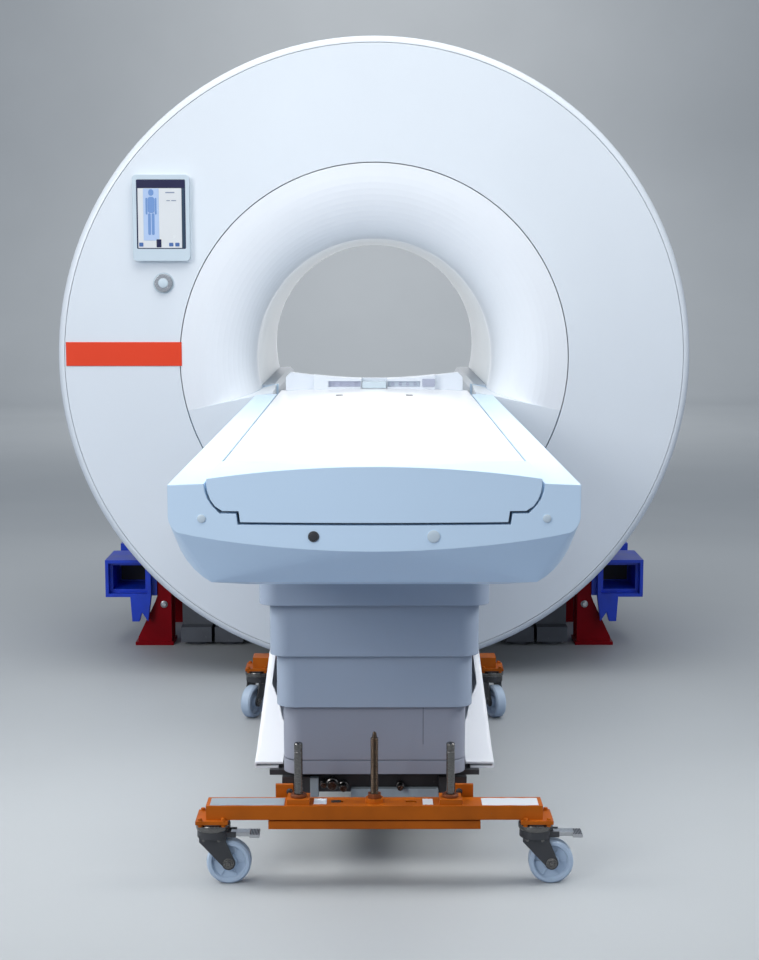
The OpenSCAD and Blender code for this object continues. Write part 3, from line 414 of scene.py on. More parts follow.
def add_bolt(bm, matrix, radius, height, washer=True):
    """Hexagon head with a chamfered top, and its washer."""
    base = 0.0
    if washer:
        base = height * 0.25
        wide, top = radius * 1.5, base * 0.7
        ring = [(0, 0), (wide, 0), (wide, top), (radius * 1.4, base), (0, base)]
        add_lathe(bm, ring, matrix, 28)
    add_prism(bm, polygon(6, radius * 1.12), base, height * 0.92, matrix)
    neck = height * 0.9
    crown = [(0, neck), (radius * 0.95, neck), (radius * 0.84, height), (0, height)]
    add_lathe(bm, crown, matrix, 24)


def make_piece(name, bm, finish, body, bevel, angle=35):
    """Turns a built shape into a piece that rides on a body."""
    bmesh.ops.recalc_face_normals(bm, faces=bm.faces)
    mesh = bpy.data.meshes.new(name)
    bm.to_mesh(mesh)
    bm.free()
    mesh.materials.append(materials[finish])
    mesh.polygons.foreach_set("use_smooth", [True] * len(mesh.polygons))
    mesh.set_sharp_from_angle(angle=math.radians(angle))
    piece = bpy.data.objects.new(name, mesh)
    scene.collection.objects.link(piece)
    if bevel:
        modifier = piece.modifiers.new("edges", "BEVEL")
        modifier.width = bevel
        modifier.segments = 2
        modifier.limit_method = "ANGLE"
        modifier.angle_limit = math.radians(angle)
        modifier.harden_normals = True
    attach(piece, body)
    return piece


# Display and dial
DISPLAY_X, DISPLAY_Z = -0.696, AXIS_Z + 0.475
GLASS_LIFT = 0.024
LAYER = 0.0003
DIAL_X, DIAL_Z = -0.694, AXIS_Z + 0.252
BUTTON_LIFT, BUTTON_RISE = 0.0163, 0.0018
# Name, colour, layer on the glass, and bars as (x, y, width, height, corner radius)
DISPLAY_BLOCKS = (
    ("header", (0.012, 0.012, 0.06), 0, [(0.0, 0.0975, 0.154, 0.023, 0.002)]),
    ("panel", (0.80, 0.82, 0.82), 0, [(-0.004, -0.0125, 0.143, 0.193, 0.002)]),
    ("strip", (0.03, 0.06, 0.10), 0, [(0.0725, -0.0125, 0.009, 0.193, 0.002)]),
    ("lane", (0.50, 0.64, 0.88), 1, [(-0.032, -0.001, 0.051, 0.168, 0.002)]),
    ("rows", (0.30, 0.36, 0.46), 1, [
        (0.030, 0.070, 0.030, 0.004, 0.0018),
        (0.024, 0.044, 0.012, 0.003, 0.0014),
        (0.042, 0.044, 0.016, 0.003, 0.0014),
    ]),
    ("chips", (0.08, 0.17, 0.42), 1, [
        (-0.066, -0.098, 0.014, 0.013, 0.002),
        (0.032, -0.098, 0.014, 0.012, 0.002),
        (0.052, -0.098, 0.014, 0.012, 0.002),
    ]),
    ("key", (0.01, 0.012, 0.06), 2, [(-0.008, -0.094, 0.016, 0.026, 0.002)]),
    ("figure", (0.19, 0.34, 0.66), 2, [
        (-0.032, 0.030, 0.022, 0.052, 0.008),
        (-0.047, 0.026, 0.006, 0.054, 0.0029),
        (-0.017, 0.026, 0.006, 0.054, 0.0029),
        (-0.038, -0.032, 0.009, 0.070, 0.004),
        (-0.026, -0.032, 0.009, 0.070, 0.004),
        (-0.032, 0.070, 0.017, 0.021, 0.0084),
    ]),
)


def make_display():
    """Plain blocks of the touch display, with no words."""
    glass = on_face(DISPLAY_X, DISPLAY_Z, GLASS_LIFT)
    for name, color, layer, bars in DISPLAY_BLOCKS:
        block = "display_" + name
        materials[block] = moulded(block, color, 0.25, 0.06, coat=0.4)
        bm = bmesh.new()
        for x, z, w, h, r in bars:
            add_prism(bm, rounded_outline(w, h, r, (x, z)), LAYER * layer, LAYER * (layer + 1), glass)
        make_piece(block, bm, block, "gantry", 0)


def make_dial_trim():
    """Bezel round the dial and the dome of its button."""
    bm = bmesh.new()
    bezel = [(0.0298, 0), (0.0345, 0), (0.0345, 0.0022), (0.0335, 0.0034), (0.0298, 0.0034)]
    add_lathe(bm, bezel, on_face(DIAL_X, DIAL_Z, 0), 72, True)
    make_piece("dial_bezel", bm, "panel_plastic", "gantry", 0.0006)
    bm = bmesh.new()
    cap = dome(0.0152, 0.0150, BUTTON_RISE, (0.2, 0.5, 0.8, 1.1, 1.35))
    add_lathe(bm, cap, on_face(DIAL_X, DIAL_Z, BUTTON_LIFT), 48)
    make_piece("button_dome", bm, "panel_plastic", "push_button", 0)


# Gantry feet with their jack pockets
FOOT_BOLT_X = 0.810
FOOT_PLATE_X = 0.775
FOOT_Y = (FACE_Y + 0.540, FACE_Y + 0.940)
FOOT_HALF = 0.054
FLANGE_TOP = 0.012
PLATE_BOLT_Z = (0.153, 0.44)
POCKET_SIDE_X = 0.984
POCKET_BOLT_Y = (FACE_Y + 0.600, FACE_Y + 0.880)
POCKET_BOLT_Z = (0.222, 0.289)
POCKET_BACK_X = (0.848, 0.954)
POCKET_BACK_Y = (FACE_Y + 0.640, FACE_Y + 1.040)
POCKET_BACK_Z = (0.217, 0.294)


def make_foot_bolts():
    """Anchor nuts on their studs, and the bolts of the face plates."""
    bm = bmesh.new()
    stud = [(0, 0.014), (0.008, 0.014), (0.008, 0.023), (0.0065, 0.025), (0, 0.025)]
    for side in (-1, 1):
        for y in FOOT_Y:
            flange = aimed((side * FOOT_BOLT_X, y, FLANGE_TOP), (0, 0, 1))
            add_bolt(bm, flange, 0.0135, 0.015)
            add_lathe(bm, stud, flange, 20)
            for facing in (-1, 1):
                for z in PLATE_BOLT_Z:
                    place = (side * FOOT_PLATE_X, y + facing * FOOT_HALF, z)
                    add_bolt(bm, aimed(place, (0, facing, 0)), 0.009, 0.008)
    make_piece("foot_bolts", bm, "bright_steel", "gantry", 0.0005)


def make_pockets():
    """Painted shade as dark plates at the backs of the jack pockets, and the pockets' side bolts."""
    bm = bmesh.new()
    # Painted shade: near-black plates where the blind pockets would be dark inside
    for side in (-1, 1):
        for y in POCKET_BACK_Y:
            x0, x1 = sorted(side * x for x in POCKET_BACK_X)
            low, high = (x0, y - 0.002, POCKET_BACK_Z[0]), (x1, y - 0.0006, POCKET_BACK_Z[1])
            add_box(bm, low, high)
    make_piece("pocket_shade_backs", bm, "slot_dark", "gantry", 0)
    bm = bmesh.new()
    for side in (-1, 1):
        for y in POCKET_BOLT_Y:
            for z in POCKET_BOLT_Z:
                place = aimed((side * POCKET_SIDE_X, y, z), (side, 0, 0))
                add_bolt(bm, place, 0.008, 0.006, False)
    make_piece("pocket_bolts", bm, "dark_steel", "gantry", 0.0005)


# Rear cover
REAR_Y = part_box("rear_cover")[1].y
GRILLE_X = 0.80
GRILLE_HALF_X, GRILLE_HALF_Z = 0.085, 0.145
GRILLE_BAR, GRILLE_THICK = 0.010, 0.006
GRILLE_OPEN_X, GRILLE_OPEN_Z = 0.081, 0.141
SLATS, SLAT_PITCH, SLAT_TILT = 13, 0.021, 32
FIXINGS, FIXING_R = 16, 0.955


def make_grilles():
    """Two vent grilles with tilted slats before a dark mesh."""
    grilles = [moved(side * GRILLE_X, REAR_Y, AXIS_Z) @ turned(-90, "X") for side in (-1, 1)]
    half = GRILLE_BAR / 2
    bm = bmesh.new()
    for place in grilles:
        for side in (-1, 1):
            x, reach = side * GRILLE_HALF_X, GRILLE_HALF_Z + half
            add_box(bm, (x - half, -reach, 0), (x + half, reach, GRILLE_THICK), place)
        for side in (-1, 1):
            z, reach = side * GRILLE_HALF_Z, GRILLE_HALF_X + half
            add_box(bm, (-reach, z - half, 0), (reach, z + half, GRILLE_THICK), place)
        for row in range(SLATS):
            z = SLAT_PITCH * (row - (SLATS - 1) / 2)
            slat = place @ moved(0, z, GRILLE_THICK / 2) @ turned(SLAT_TILT, "X")
            low, high = (-GRILLE_OPEN_X, -0.006, -0.0012), (GRILLE_OPEN_X, 0.006, 0.0012)
            add_box(bm, low, high, slat)
    make_piece("rear_grilles", bm, "cover_shade", "gantry", 0.0006)
    bm = bmesh.new()
    for place in grilles:
        low = (-GRILLE_OPEN_X, -GRILLE_OPEN_Z, 0.0)
        add_box(bm, low, (GRILLE_OPEN_X, GRILLE_OPEN_Z, 0.0006), place)
    make_piece("grille_mesh", bm, "drive_grey", "gantry", 0)


def make_rear_fixings():
    """Buttons over the screws round the rear cover."""
    bm = bmesh.new()
    button = [(0, 0), (0.011, 0), (0.011, 0.0015), (0.0085, 0.003), (0, 0.003)]
    for step in range(FIXINGS):
        a = math.radians(360 / FIXINGS * (step + 0.5))
        place = (FIXING_R * math.cos(a), REAR_Y, AXIS_Z + FIXING_R * math.sin(a))
        add_lathe(bm, button, aimed(place, (0, 1, 0)), 24)
    make_piece("rear_fixings", bm, "bright_steel", "gantry", 0.0004)


# Plugs in the table's bowed front: x, z, radius and finish
PLUGS = (
    (-0.328, 0.899, 0.008, "panel_plastic"),
    (0.328, 0.899, 0.008, "panel_plastic"),
    (0.112, 0.867, 0.012, "panel_plastic"),
    (-0.115, 0.867, 0.009, "dark_steel"),
)
BOW_RADIUS = 3.1015
PLUG_LIFT, PLUG_RISE = 0.00174, 0.0013
RIM_LEAN = -0.037


def make_table_caps():
    """Domes on the plugs in the table's bowed front, and a rim round the black one."""
    for number, (x, z, radius, finish) in enumerate(PLUGS, 1):
        turn = math.asin(x / BOW_RADIUS)
        reach = BOW_RADIUS + PLUG_LIFT
        y = TABLE_END_Y + BOW_RADIUS - reach * math.cos(turn)
        matrix = aimed((reach * math.sin(turn), y, z), (math.sin(turn), -math.cos(turn), 0))
        bm = bmesh.new()
        cap = dome(radius * 0.99, radius * 0.97, PLUG_RISE, (0.3, 0.7, 1.1))
        add_lathe(bm, cap, matrix, 36)
        make_piece("front_plug_%d" % number, bm, finish, "table", 0)
    x, z, radius, finish = PLUGS[-1]
    bm = bmesh.new()
    place = (x, TABLE_END_Y + BOW_RADIUS - math.sqrt(BOW_RADIUS ** 2 - x ** 2), z)
    near, far = radius + 0.0002, radius + 0.0014
    rim = [(near, 0), (far, 0), (far, 0.0019), (near, 0.0022)]
    add_lathe(bm, rim, aimed(place, (RIM_LEAN, -1, 0)), 40, True)
    make_piece("front_plug_rim", bm, finish, "table", 0)


# Console at the table's head end; heights are above the tabletop's edge
CONSOLE_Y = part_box("head_sockets")[0].y
CONSOLE_DEPTH = 0.015
SOCKET_ROWS = (-0.155, 0.045)
SOCKETS, SOCKET_START, SOCKET_PITCH, SOCKET_RISE = 4, 0.0175, 0.025, 0.026
SOCKET_PLATES = (
    ("left", "plate_lilac", -0.153, -0.047),
    ("right", "plate_grey", 0.047, 0.153),
)
PLATE_LOW, PLATE_HIGH = 0.0172, 0.0375
# Name, finish, slot and bevel, then two corners with y from the console's front
CONSOLE_BLOCKS = (
    ("centre_plug", "panel_plastic", "panel_plastic", 0.003,
     (-0.041, -0.010, 0.0125), (0.041, 0.046, 0.034)),
    ("side_latch", "lilac", None, 0.0015, (0.162, -0.004, 0.018), (0.204, 0.001, 0.044)),
)
SLOT_X, SLOT_Y = 0.112, FACE_Y - 0.204
SLOT_LOW, SLOT_HIGH = 0.0055, 0.0085


def make_sockets():
    """Two rows of round sockets in the console's recesses, and the plates behind them."""
    face_y = CONSOLE_Y + CONSOLE_DEPTH
    bm = bmesh.new()
    ring = [(0.0030, 0), (0.0056, 0), (0.0056, 0.0025), (0.0030, 0.0030)]
    for x0 in SOCKET_ROWS:
        for k in range(SOCKETS):
            place = (x0 + SOCKET_START + SOCKET_PITCH * k, face_y, TABLE_TOP_Z + SOCKET_RISE)
            add_lathe(bm, ring, aimed(place, (0, -1, 0)), 28, True)
    make_piece("socket_rings", bm, "plate_lilac", "moving_top", 0.0003)
    for side, finish, x0, x1 in SOCKET_PLATES:
        bm = bmesh.new()
        low = (x0, face_y - 0.0006, TABLE_TOP_Z + PLATE_LOW)
        add_box(bm, low, (x1, face_y + 0.0005, TABLE_TOP_Z + PLATE_HIGH))
        make_piece("socket_plate_" + side, bm, finish, "moving_top", 0.0004)


def make_console_blocks():
    """The plug between the sockets and the latch at the console's side."""
    for name, finish, slot, bevel, (x0, y0, z0), (x1, y1, z1) in CONSOLE_BLOCKS:
        bm = bmesh.new()
        low = (x0, CONSOLE_Y + y0, TABLE_TOP_Z + z0)
        add_box(bm, low, (x1, CONSOLE_Y + y1, TABLE_TOP_Z + z1))
        make_piece(name, bm, finish, "moving_top", bevel)


def make_slot_shade():
    """Painted shade: dark floors in the two slots of the tabletop."""
    bm = bmesh.new()
    for side in (-1, 1):
        outline = rounded_outline(0.0215, 0.0595, 0.004, (side * SLOT_X, SLOT_Y))
        add_prism(bm, outline, TABLE_TOP_Z + SLOT_LOW, TABLE_TOP_Z + SLOT_HIGH)
    make_piece("slot_shade_floors", bm, "slot_dark", "moving_top", 0)


# Flank covers beside the column: thin ramps that rise towards the gantry
FLANK_X = 0.281
FLANK_FRONT, FLANK_REAR = FACE_Y - 1.690, FACE_Y - 0.634
FLANK_FOOT, FLANK_TOP = 0.210, 0.440
FLANK_LIP_X = 0.225
FLANK_START, FLANK_SLOPE = 0.015, 0.25
FLANK_WALL = 0.005
# Heights of the ramp, and its inner edge at each
FLANK_STEPS = ((0.268, 0.214), (0.274, 0.226), (0.296, 0.240), (0.318, 0.2625))
FLANK_SECTIONS = 60


def flank_edge(z):
    """Inner edge of the ramp, which leaves room for the tiers when they are down."""
    if z <= FLANK_STEPS[0][0]:
        return FLANK_STEPS[0][1]
    for (z0, x0), (z1, x1) in zip(FLANK_STEPS, FLANK_STEPS[1:]):
        if z <= z1:
            return x0 + (x1 - x0) * (z - z0) / (z1 - z0)
    return FLANK_STEPS[-1][1]


def flank_ring(side, y, top, steps=6):
    """Section of a flank cover: ramp, outer wall and foot flange as one bent sheet."""
    height = top - FLANK_FOOT
    crown, heel = min(0.012, 0.35 * height), min(0.007, 0.3 * height)
    edge = min(flank_edge(top), FLANK_X - crown - 0.0005)
    path = []
    for wall in (0.0, FLANK_WALL):
        row = [(edge, top - wall)]
        for radius, z, start in ((crown, top - crown, 90), (heel, FLANK_FOOT + heel, 0)):
            bend = max(radius - wall, 0.0004)
            for i in range(steps + 1):
                a = math.radians(start - 90 * i / steps)
                row.append((FLANK_X - radius + bend * math.cos(a), z + bend * math.sin(a)))
        row.append((FLANK_LIP_X, FLANK_FOOT + wall))
        path += row if wall == 0.0 else row[::-1]
    return [(side * x, y, z) for x, z in path]


def make_flanks():
    """Both flank covers as bent sheets."""
    bm = bmesh.new()
    for side in (-1, 1):
        rings = []
        for i in range(FLANK_SECTIONS + 1):
            y = FLANK_FRONT + (FLANK_REAR - FLANK_FRONT) * i / FLANK_SECTIONS
            ramp_top = FLANK_FOOT + FLANK_START + FLANK_SLOPE * (y - FLANK_FRONT)
            rings.append(flank_ring(side, y, min(FLANK_TOP, ramp_top)))
        add_loft(bm, rings)
    piece = make_piece("flank_ramps", bm, "flank_white", "gantry", 0, 50)
    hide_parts("flank_covers")


# Cheeks of the docking recess, on both sides of the way of the tabletop.
# Depths run behind the gantry's face and drops below the ledge line.
CHEEK_X = 0.337
CHEEK_R, PLATE_R = 0.6295, 0.6415
CHEEK_DEPTHS, CHEEK_DROP = (0.0006, 0.199), 0.0125
PLATE_DEPTHS = (-0.0010, 0.0001)
LEDGE_Z, LEDGE_SLOPE, LEDGE_RISE = 0.904, 0.22, 0.06
FUNNEL_R, FUNNEL_DEEP = 0.600, 0.200
SHELF_END_X = 0.597
SHELF_TOP, SHELF_LOW = 0.0003, 0.0120
SHELF_SECTIONS = 40
SEAM_R = 0.644


def ledge(x, y=0.0):
    """Height of the ledge line at a place across and behind the face."""
    return LEDGE_Z + LEDGE_SLOPE * (SEAM_R - abs(x)) + LEDGE_RISE * y


def cheek_ring(side, radius, depth, drop, steps=28):
    """Outline of a cheek at a depth: the ledge line, the round seam and the upright edge."""
    far = CHEEK_X
    while math.hypot(far, ledge(far, depth) - drop - AXIS_Z) < radius:
        far += 0.0005
    start = math.atan2(ledge(far, depth) - drop - AXIS_Z, far)
    stop = -math.acos(CHEEK_X / radius)
    line = [(CHEEK_X, ledge(CHEEK_X, depth) - drop)]
    for i in range(steps + 1):
        a = start + (stop - start) * i / steps
        line.append((radius * math.cos(a), AXIS_Z + radius * math.sin(a)))
    return [(side * x, FACE_Y + depth, z) for x, z in line]


def shelf_ring(side, x):
    """Section of the shelf at a place across: it ends where the funnel's curve begins."""
    gap = FUNNEL_R - math.hypot(x, ledge(x) - AXIS_Z)
    deep = 0.0
    if gap > 0:
        deep = FUNNEL_DEEP - math.sqrt(FUNNEL_DEEP ** 2 - min(gap, FUNNEL_DEEP) ** 2)
    near, far = 0.0002, deep + 0.003
    corners = ((near, SHELF_TOP), (far, SHELF_TOP), (far, SHELF_LOW), (near, SHELF_LOW))
    return [(side * x, FACE_Y + depth, ledge(x, depth) - drop) for depth, drop in corners]


def make_cheeks():
    """Flush faces, a sloping shelf and side walls of the docking recess."""
    bm = bmesh.new()
    for side in (-1, 1):
        add_loft(bm, [cheek_ring(side, CHEEK_R, depth, CHEEK_DROP) for depth in CHEEK_DEPTHS])
        add_loft(bm, [cheek_ring(side, PLATE_R, depth, 0.0) for depth in PLATE_DEPTHS])
        width = SHELF_END_X - CHEEK_X
        places = [CHEEK_X + width * i / SHELF_SECTIONS for i in range(SHELF_SECTIONS + 1)]
        add_loft(bm, [shelf_ring(side, x) for x in places])
    make_piece("recess_cheeks", bm, "cover_white", "gantry", 0, 30)


# Trolleys: x across, y from the table's middle outwards, heights above the floor
COLUMN_Y = -0.727
HALF_BASE = 0.700
BEAM_TOP, BEAM_LOW, BAR_LOW = 0.186, 0.154, 0.130
PIN_X, PIN_R, PIN_GROOVE_R, PIN_TOP = 0.170, 0.0095, 0.0088, 0.322
SPINDLE_TOP, SPINDLE_TIP = 0.347, 0.014
THREAD_R, THREAD_ROOT_R, THREAD_PITCH = 0.009, 0.0074, 0.004
BUSH_LOW, NUT_LOW = 0.1975, 0.1955
CASTOR_BOLT_X, CASTOR_BOLT_Y = 0.026, 0.0365
BRACKET_BOLT_X, BRACKET_BOLT_Z = 0.192, 0.196
# Y and turn of the bolts on both faces of a bracket
BRACKET_FACES = ((-0.041, -90), (-0.051, 90))
WELD_X, WELD_Y, WELD_Z, WELD_PITCH = 0.186, -0.0405, 0.149, 0.004
WELD_BEADS = 10
TROLLEYS = (("front", -1), ("rear", 1))
# Finish, x range and y range of what lies on the front beam
TAPES = (
    ("tape_grey", (-0.367, -0.201), (-0.024, 0.026)),
    ("tape_white", (0.240, 0.366), (-0.022, 0.027)),
    ("tape_white", (-0.136, -0.107), (-0.020, 0.018)),
    ("tape_white", (0.108, 0.131), (-0.017, 0.022)),
    # A near-black strip: painted shade in the beam's slot
    ("slot_dark", (-0.097, -0.075), (-0.009, 0.006)),
)
TAPE_THICK = 0.0006
TAPE_SPANS = 8


# Castors: x, end of the table and turn in degrees; the wheel trails behind the swivel's axis
SWIVEL_X = 0.362
CASTORS = ((-SWIVEL_X, -1, 0), (SWIVEL_X, -1, 0), (-SWIVEL_X, 1, -115), (SWIVEL_X, 1, -70))
TRAIL, WHEEL_R = 0.035, 0.050
RIVET_X, RIVET_Y, RIVET_Z = (-0.020, 0.014), 0.023, 0.104
PEDAL_RIB_X, PEDAL_RIB_PITCH = 0.0835, 0.0034
WHEEL_RIBS, PEDAL_RIBS = 6, 6


def end_matrix(end):
    """Place of a trolley: its own y runs away from the table's middle."""
    return moved(0, COLUMN_Y + end * HALF_BASE, 0) @ Matrix.Diagonal((1, end, 1, 1))


def make_guide_pins(name, base):
    """The pins that a trolley slides on, with a turned ring near the top."""
    bm = bmesh.new()
    pin = [(0, BAR_LOW), (PIN_R, BAR_LOW), (PIN_R, PIN_TOP - 0.020)]
    pin += [(PIN_GROOVE_R, PIN_TOP - 0.0195), (PIN_GROOVE_R, PIN_TOP - 0.0165)]
    pin += [(PIN_R, PIN_TOP - 0.016), (PIN_R, PIN_TOP - 0.002), (0.0078, PIN_TOP)]
    pin += [(0.0030, PIN_TOP), (0.0026, PIN_TOP - 0.004), (0, PIN_TOP - 0.005)]
    for side in (-1, 1):
        add_lathe(bm, pin, base @ moved(side * PIN_X, 0, 0), 40)
    piece = make_piece(name + "_guide_pins", bm, "pin_grey", "gantry", 0)
    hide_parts("trolley_rods")


def make_spindle(name, base):
    """The threaded spindle with its tapered tip."""
    bm = bmesh.new()
    shoulder = SPINDLE_TOP - SPINDLE_TIP
    add_thread(bm, base, BAR_LOW, shoulder, THREAD_R, THREAD_ROOT_R, THREAD_PITCH)
    low, high = shoulder - 0.001, shoulder + 0.004
    neck = [(0, low), (0.0060, low), (0.0055, shoulder), (0.0055, high), (0, high)]
    add_lathe(bm, neck, base, 24)
    low, high = shoulder + 0.003, SPINDLE_TOP
    tip = [(0, low), (0.0052, low), (0.0044, high - 0.003), (0.0026, high), (0, high)]
    add_lathe(bm, tip, base, 24)
    piece = make_piece(name + "_spindle", bm, "thread_brown", "gantry", 0, 60)
    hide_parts("trolley_rods")


def make_bushes(name, body, base):
    """Bushes round the guide pins and the nut round the spindle."""
    bm = bmesh.new()
    bush = [(0.0099, BUSH_LOW), (0.0182, BUSH_LOW), (0.0182, 0.2035), (0.0168, 0.2050)]
    bush.append((0.0099, 0.2050))
    for side in (-1, 1):
        add_lathe(bm, bush, base @ moved(side * PIN_X, 0, 0), 40, True)
    make_piece(name + "_bushes", bm, "brown_paint", body, 0.0004)
    bm = bmesh.new()
    outline = polygon(6, 0.0165, math.pi / 6)
    add_prism_ring(bm, outline, 0.0094, 0.0, 0.0105, base @ moved(0, 0, NUT_LOW))
    make_piece(name + "_spindle_nut", bm, "brown_paint", body, 0.0004)


def make_trolley_bolts(name, body, base):
    """Bolts of the castor plates, and those of the brackets."""
    bm = bmesh.new()
    for side in (-1, 1):
        for x in (SWIVEL_X - CASTOR_BOLT_X, SWIVEL_X + CASTOR_BOLT_X):
            for y in (-CASTOR_BOLT_Y, CASTOR_BOLT_Y):
                add_bolt(bm, base @ moved(side * x, y, BEAM_LOW), 0.0046, 0.006)
                under = base @ moved(side * x, y, BEAM_LOW - 0.008) @ turned(180, "X")
                add_bolt(bm, under, 0.0046, 0.006, False)
    make_piece(name + "_plate_bolts", bm, "orange_paint", body, 0.0003)
    bm = bmesh.new()
    for side in (-1, 1):
        for y, turn in BRACKET_FACES:
            place = base @ moved(side * BRACKET_BOLT_X, y, BRACKET_BOLT_Z)
            add_bolt(bm, place @ turned(turn, "X"), 0.0050, 0.004)
    make_piece(name + "_bracket_bolts", bm, "dark_steel", "gantry", 0.0004)


def make_welds(name, base):
    """Weld beads of three sizes in turn under the brackets."""
    bm = bmesh.new()
    for side in (-1, 1):
        for k in range(WELD_BEADS):
            bead = base @ moved(side * (WELD_X + WELD_PITCH * k), WELD_Y, WELD_Z)
            drop = 0.0030 + 0.0006 * ((k * 7) % 3)
            profile = [(0, -drop * 0.5), (drop, 0), (drop * 0.7, drop * 0.6), (0, drop)]
            add_lathe(bm, profile, bead, 10)
    make_piece(name + "_welds", bm, "orange_paint", "gantry", 0, 80)


def make_tapes(body, base):
    """Uneven strips of tape stuck on the front beam, and a near-black strip as painted shade in its
    slot.
    """
    for number, (finish, (x0, x1), (y0, y1)) in enumerate(TAPES, 1):
        bm = bmesh.new()
        outline = []
        for k in range(TAPE_SPANS + 1):
            wave = 0.0012 * math.sin(2.1 * k + number)
            outline.append((x0 + (x1 - x0) * k / TAPE_SPANS, y0 + wave))
        for k in range(TAPE_SPANS + 1):
            wave = 0.0010 * math.sin(1.7 * k + 2 * number)
            outline.append((x1 - (x1 - x0) * k / TAPE_SPANS, y1 + wave))
        add_prism(bm, outline, BEAM_TOP, BEAM_TOP + TAPE_THICK, base)
        make_piece("beam_tape_%d" % number, bm, finish, body, 0)


def make_trolley(name, end):
    """All that is added to one trolley; only the front one has tapes."""
    body = name + "_trolley"
    base = end_matrix(end)
    make_guide_pins(name, base)
    make_spindle(name, base)
    make_bushes(name, body, base)
    make_trolley_bolts(name, body, base)
    make_welds(name, base)
    if name == "front":
        make_tapes(body, base)


def make_race(body, place, axles):
    """Ring over the swivel's race, and the nuts on the wheel's axle."""
    bm = bmesh.new()
    race = [(0.0355, 0.124), (0.0375, 0.1255), (0.0388, 0.129)]
    race += [(0.0388, 0.137), (0.0375, 0.1405), (0.0355, 0.142)]
    add_lathe(bm, race, place, 64, True)
    washer = [(0.0061, 0.0230), (0.0125, 0.0230), (0.0125, 0.0240), (0.0061, 0.0240)]
    cap = [(0, 0.0278), (0.0057, 0.0278), (0.0057, 0.0286), (0.0042, 0.0296), (0, 0.0296)]
    for axle in axles:
        add_prism_ring(bm, polygon(6, 0.0105), 0.0061, 0.0232, 0.0272, axle)
        add_lathe(bm, washer, axle, 32, True)
        add_lathe(bm, cap, axle, 24)
    make_piece(body + "_race", bm, "pin_grey", body, 0.0003)


def make_wheel(body, axles):
    """Seals round the wheel's hub, and the ribs on both its sides."""
    bm = bmesh.new()
    seal = [(0.0066, 0.0168), (0.0150, 0.0168), (0.0150, 0.0182), (0.0138, 0.0188)]
    seal.append((0.0066, 0.0188))
    for axle in axles:
        add_lathe(bm, seal, axle, 40, True)
    make_piece(body + "_hub", bm, "dark_steel", body, 0.0003)
    bm = bmesh.new()
    for axle in axles:
        for k in range(WHEEL_RIBS):
            rib = axle @ turned(360 / WHEEL_RIBS * k, "Z")
            add_box(bm, (0.0195, -0.0018, 0.0079), (0.0355, 0.0018, 0.0098), rib)
    make_piece(body + "_ribs", bm, "nylon", body, 0.0005)


def make_rivets(body, place):
    """Rivets in both legs of a castor's fork."""
    bm = bmesh.new()
    rivet = [(0, 0), (0.0042, 0), (0.0040, 0.0012), (0.0026, 0.0022), (0, 0.0024)]
    for leg in (-1, 1):
        for x0 in RIVET_X:
            head = place @ moved(x0, leg * RIVET_Y, RIVET_Z) @ turned(-90 * leg, "X")
            add_lathe(bm, rivet, head, 16)
    make_piece(body + "_rivets", bm, "pin_grey", body, 0)


def make_pedal_ribs(body, place):
    """Ribs across the tread of a brake pedal."""
    bm = bmesh.new()
    for k in range(PEDAL_RIBS):
        x0 = PEDAL_RIB_X + PEDAL_RIB_PITCH * k
        add_box(bm, (x0, -0.0185, 0.1158), (x0 + 0.0016, 0.0185, 0.1172), place)
    make_piece(body + "_ribs", bm, "dark_steel", body, 0.0003)


def make_castor(number, x, end, turn):
    """All that is added to one castor; only the front ones have a pedal."""
    place = moved(x, COLUMN_Y + end * HALF_BASE, 0) @ turned(turn, "Z")
    wheel = place @ moved(TRAIL, 0, WHEEL_R)
    axles = [wheel @ turned(-90 * side, "X") for side in (-1, 1)]
    make_race("castor_%d" % number, place, axles)
    make_wheel("wheel_%d" % number, axles)
    make_rivets("castor_%d" % number, place)
    if end < 0:
        make_pedal_ribs("pedal_%d" % number, place)


# Under the column's front
CROSS_Y = COLUMN_Y - 0.558
# Corners of the cross plate and of the upright strip beside it, with y from CROSS_Y
CROSS_BOXES = (
    ((-0.055, -0.004, 0.146), (0.149, 0.014, 0.170)),
    ((-0.150, -0.002, 0.150), (-0.130, 0.014, 0.196)),
)
COVER_SEAM = ((0.1116, COLUMN_Y - 0.5883, 0.285), (0.1124, COLUMN_Y - 0.587, 0.372))
COUPLING_Z = 0.181
# X, radius and length of each hose coupling
COUPLINGS = (
    (-0.098, 0.0125, 0.026),
    (-0.072, 0.0095, 0.034),
    (-0.118, 0.008, 0.022),
    (0.060, 0.008, 0.030),
)


def make_cross_plate():
    """A plate in the dark gap under the column, and the seam in the cover above it."""
    bm = bmesh.new()
    for (x0, y0, z0), (x1, y1, z1) in CROSS_BOXES:
        add_box(bm, (x0, CROSS_Y + y0, z0), (x1, CROSS_Y + y1, z1))
    make_piece("cross_plate", bm, "tape_grey", "gantry", 0.0012)
    bm = bmesh.new()
    add_box(bm, *COVER_SEAM)
    make_piece("cover_seam", bm, "slot_dark", "gantry", 0)


def make_couplings():
    """Hose couplings that stick out of the gap under the column."""
    bm = bmesh.new()
    for k, (x, r, length) in enumerate(COUPLINGS):
        place = aimed((x, CROSS_Y + 0.010, COUPLING_Z - 0.004 * (k % 2)), (0, -1, 0))
        plug = [(0, -0.012), (r, -0.012), (r, 0.004), (r * 1.2, 0.005), (r * 1.2, 0.012)]
        plug += [(r * 0.9, 0.014), (r * 0.85, length), (0, length)]
        add_lathe(bm, plug, place, 28)
    make_piece("hose_couplings", bm, "pin_grey", "gantry", 0.0004)


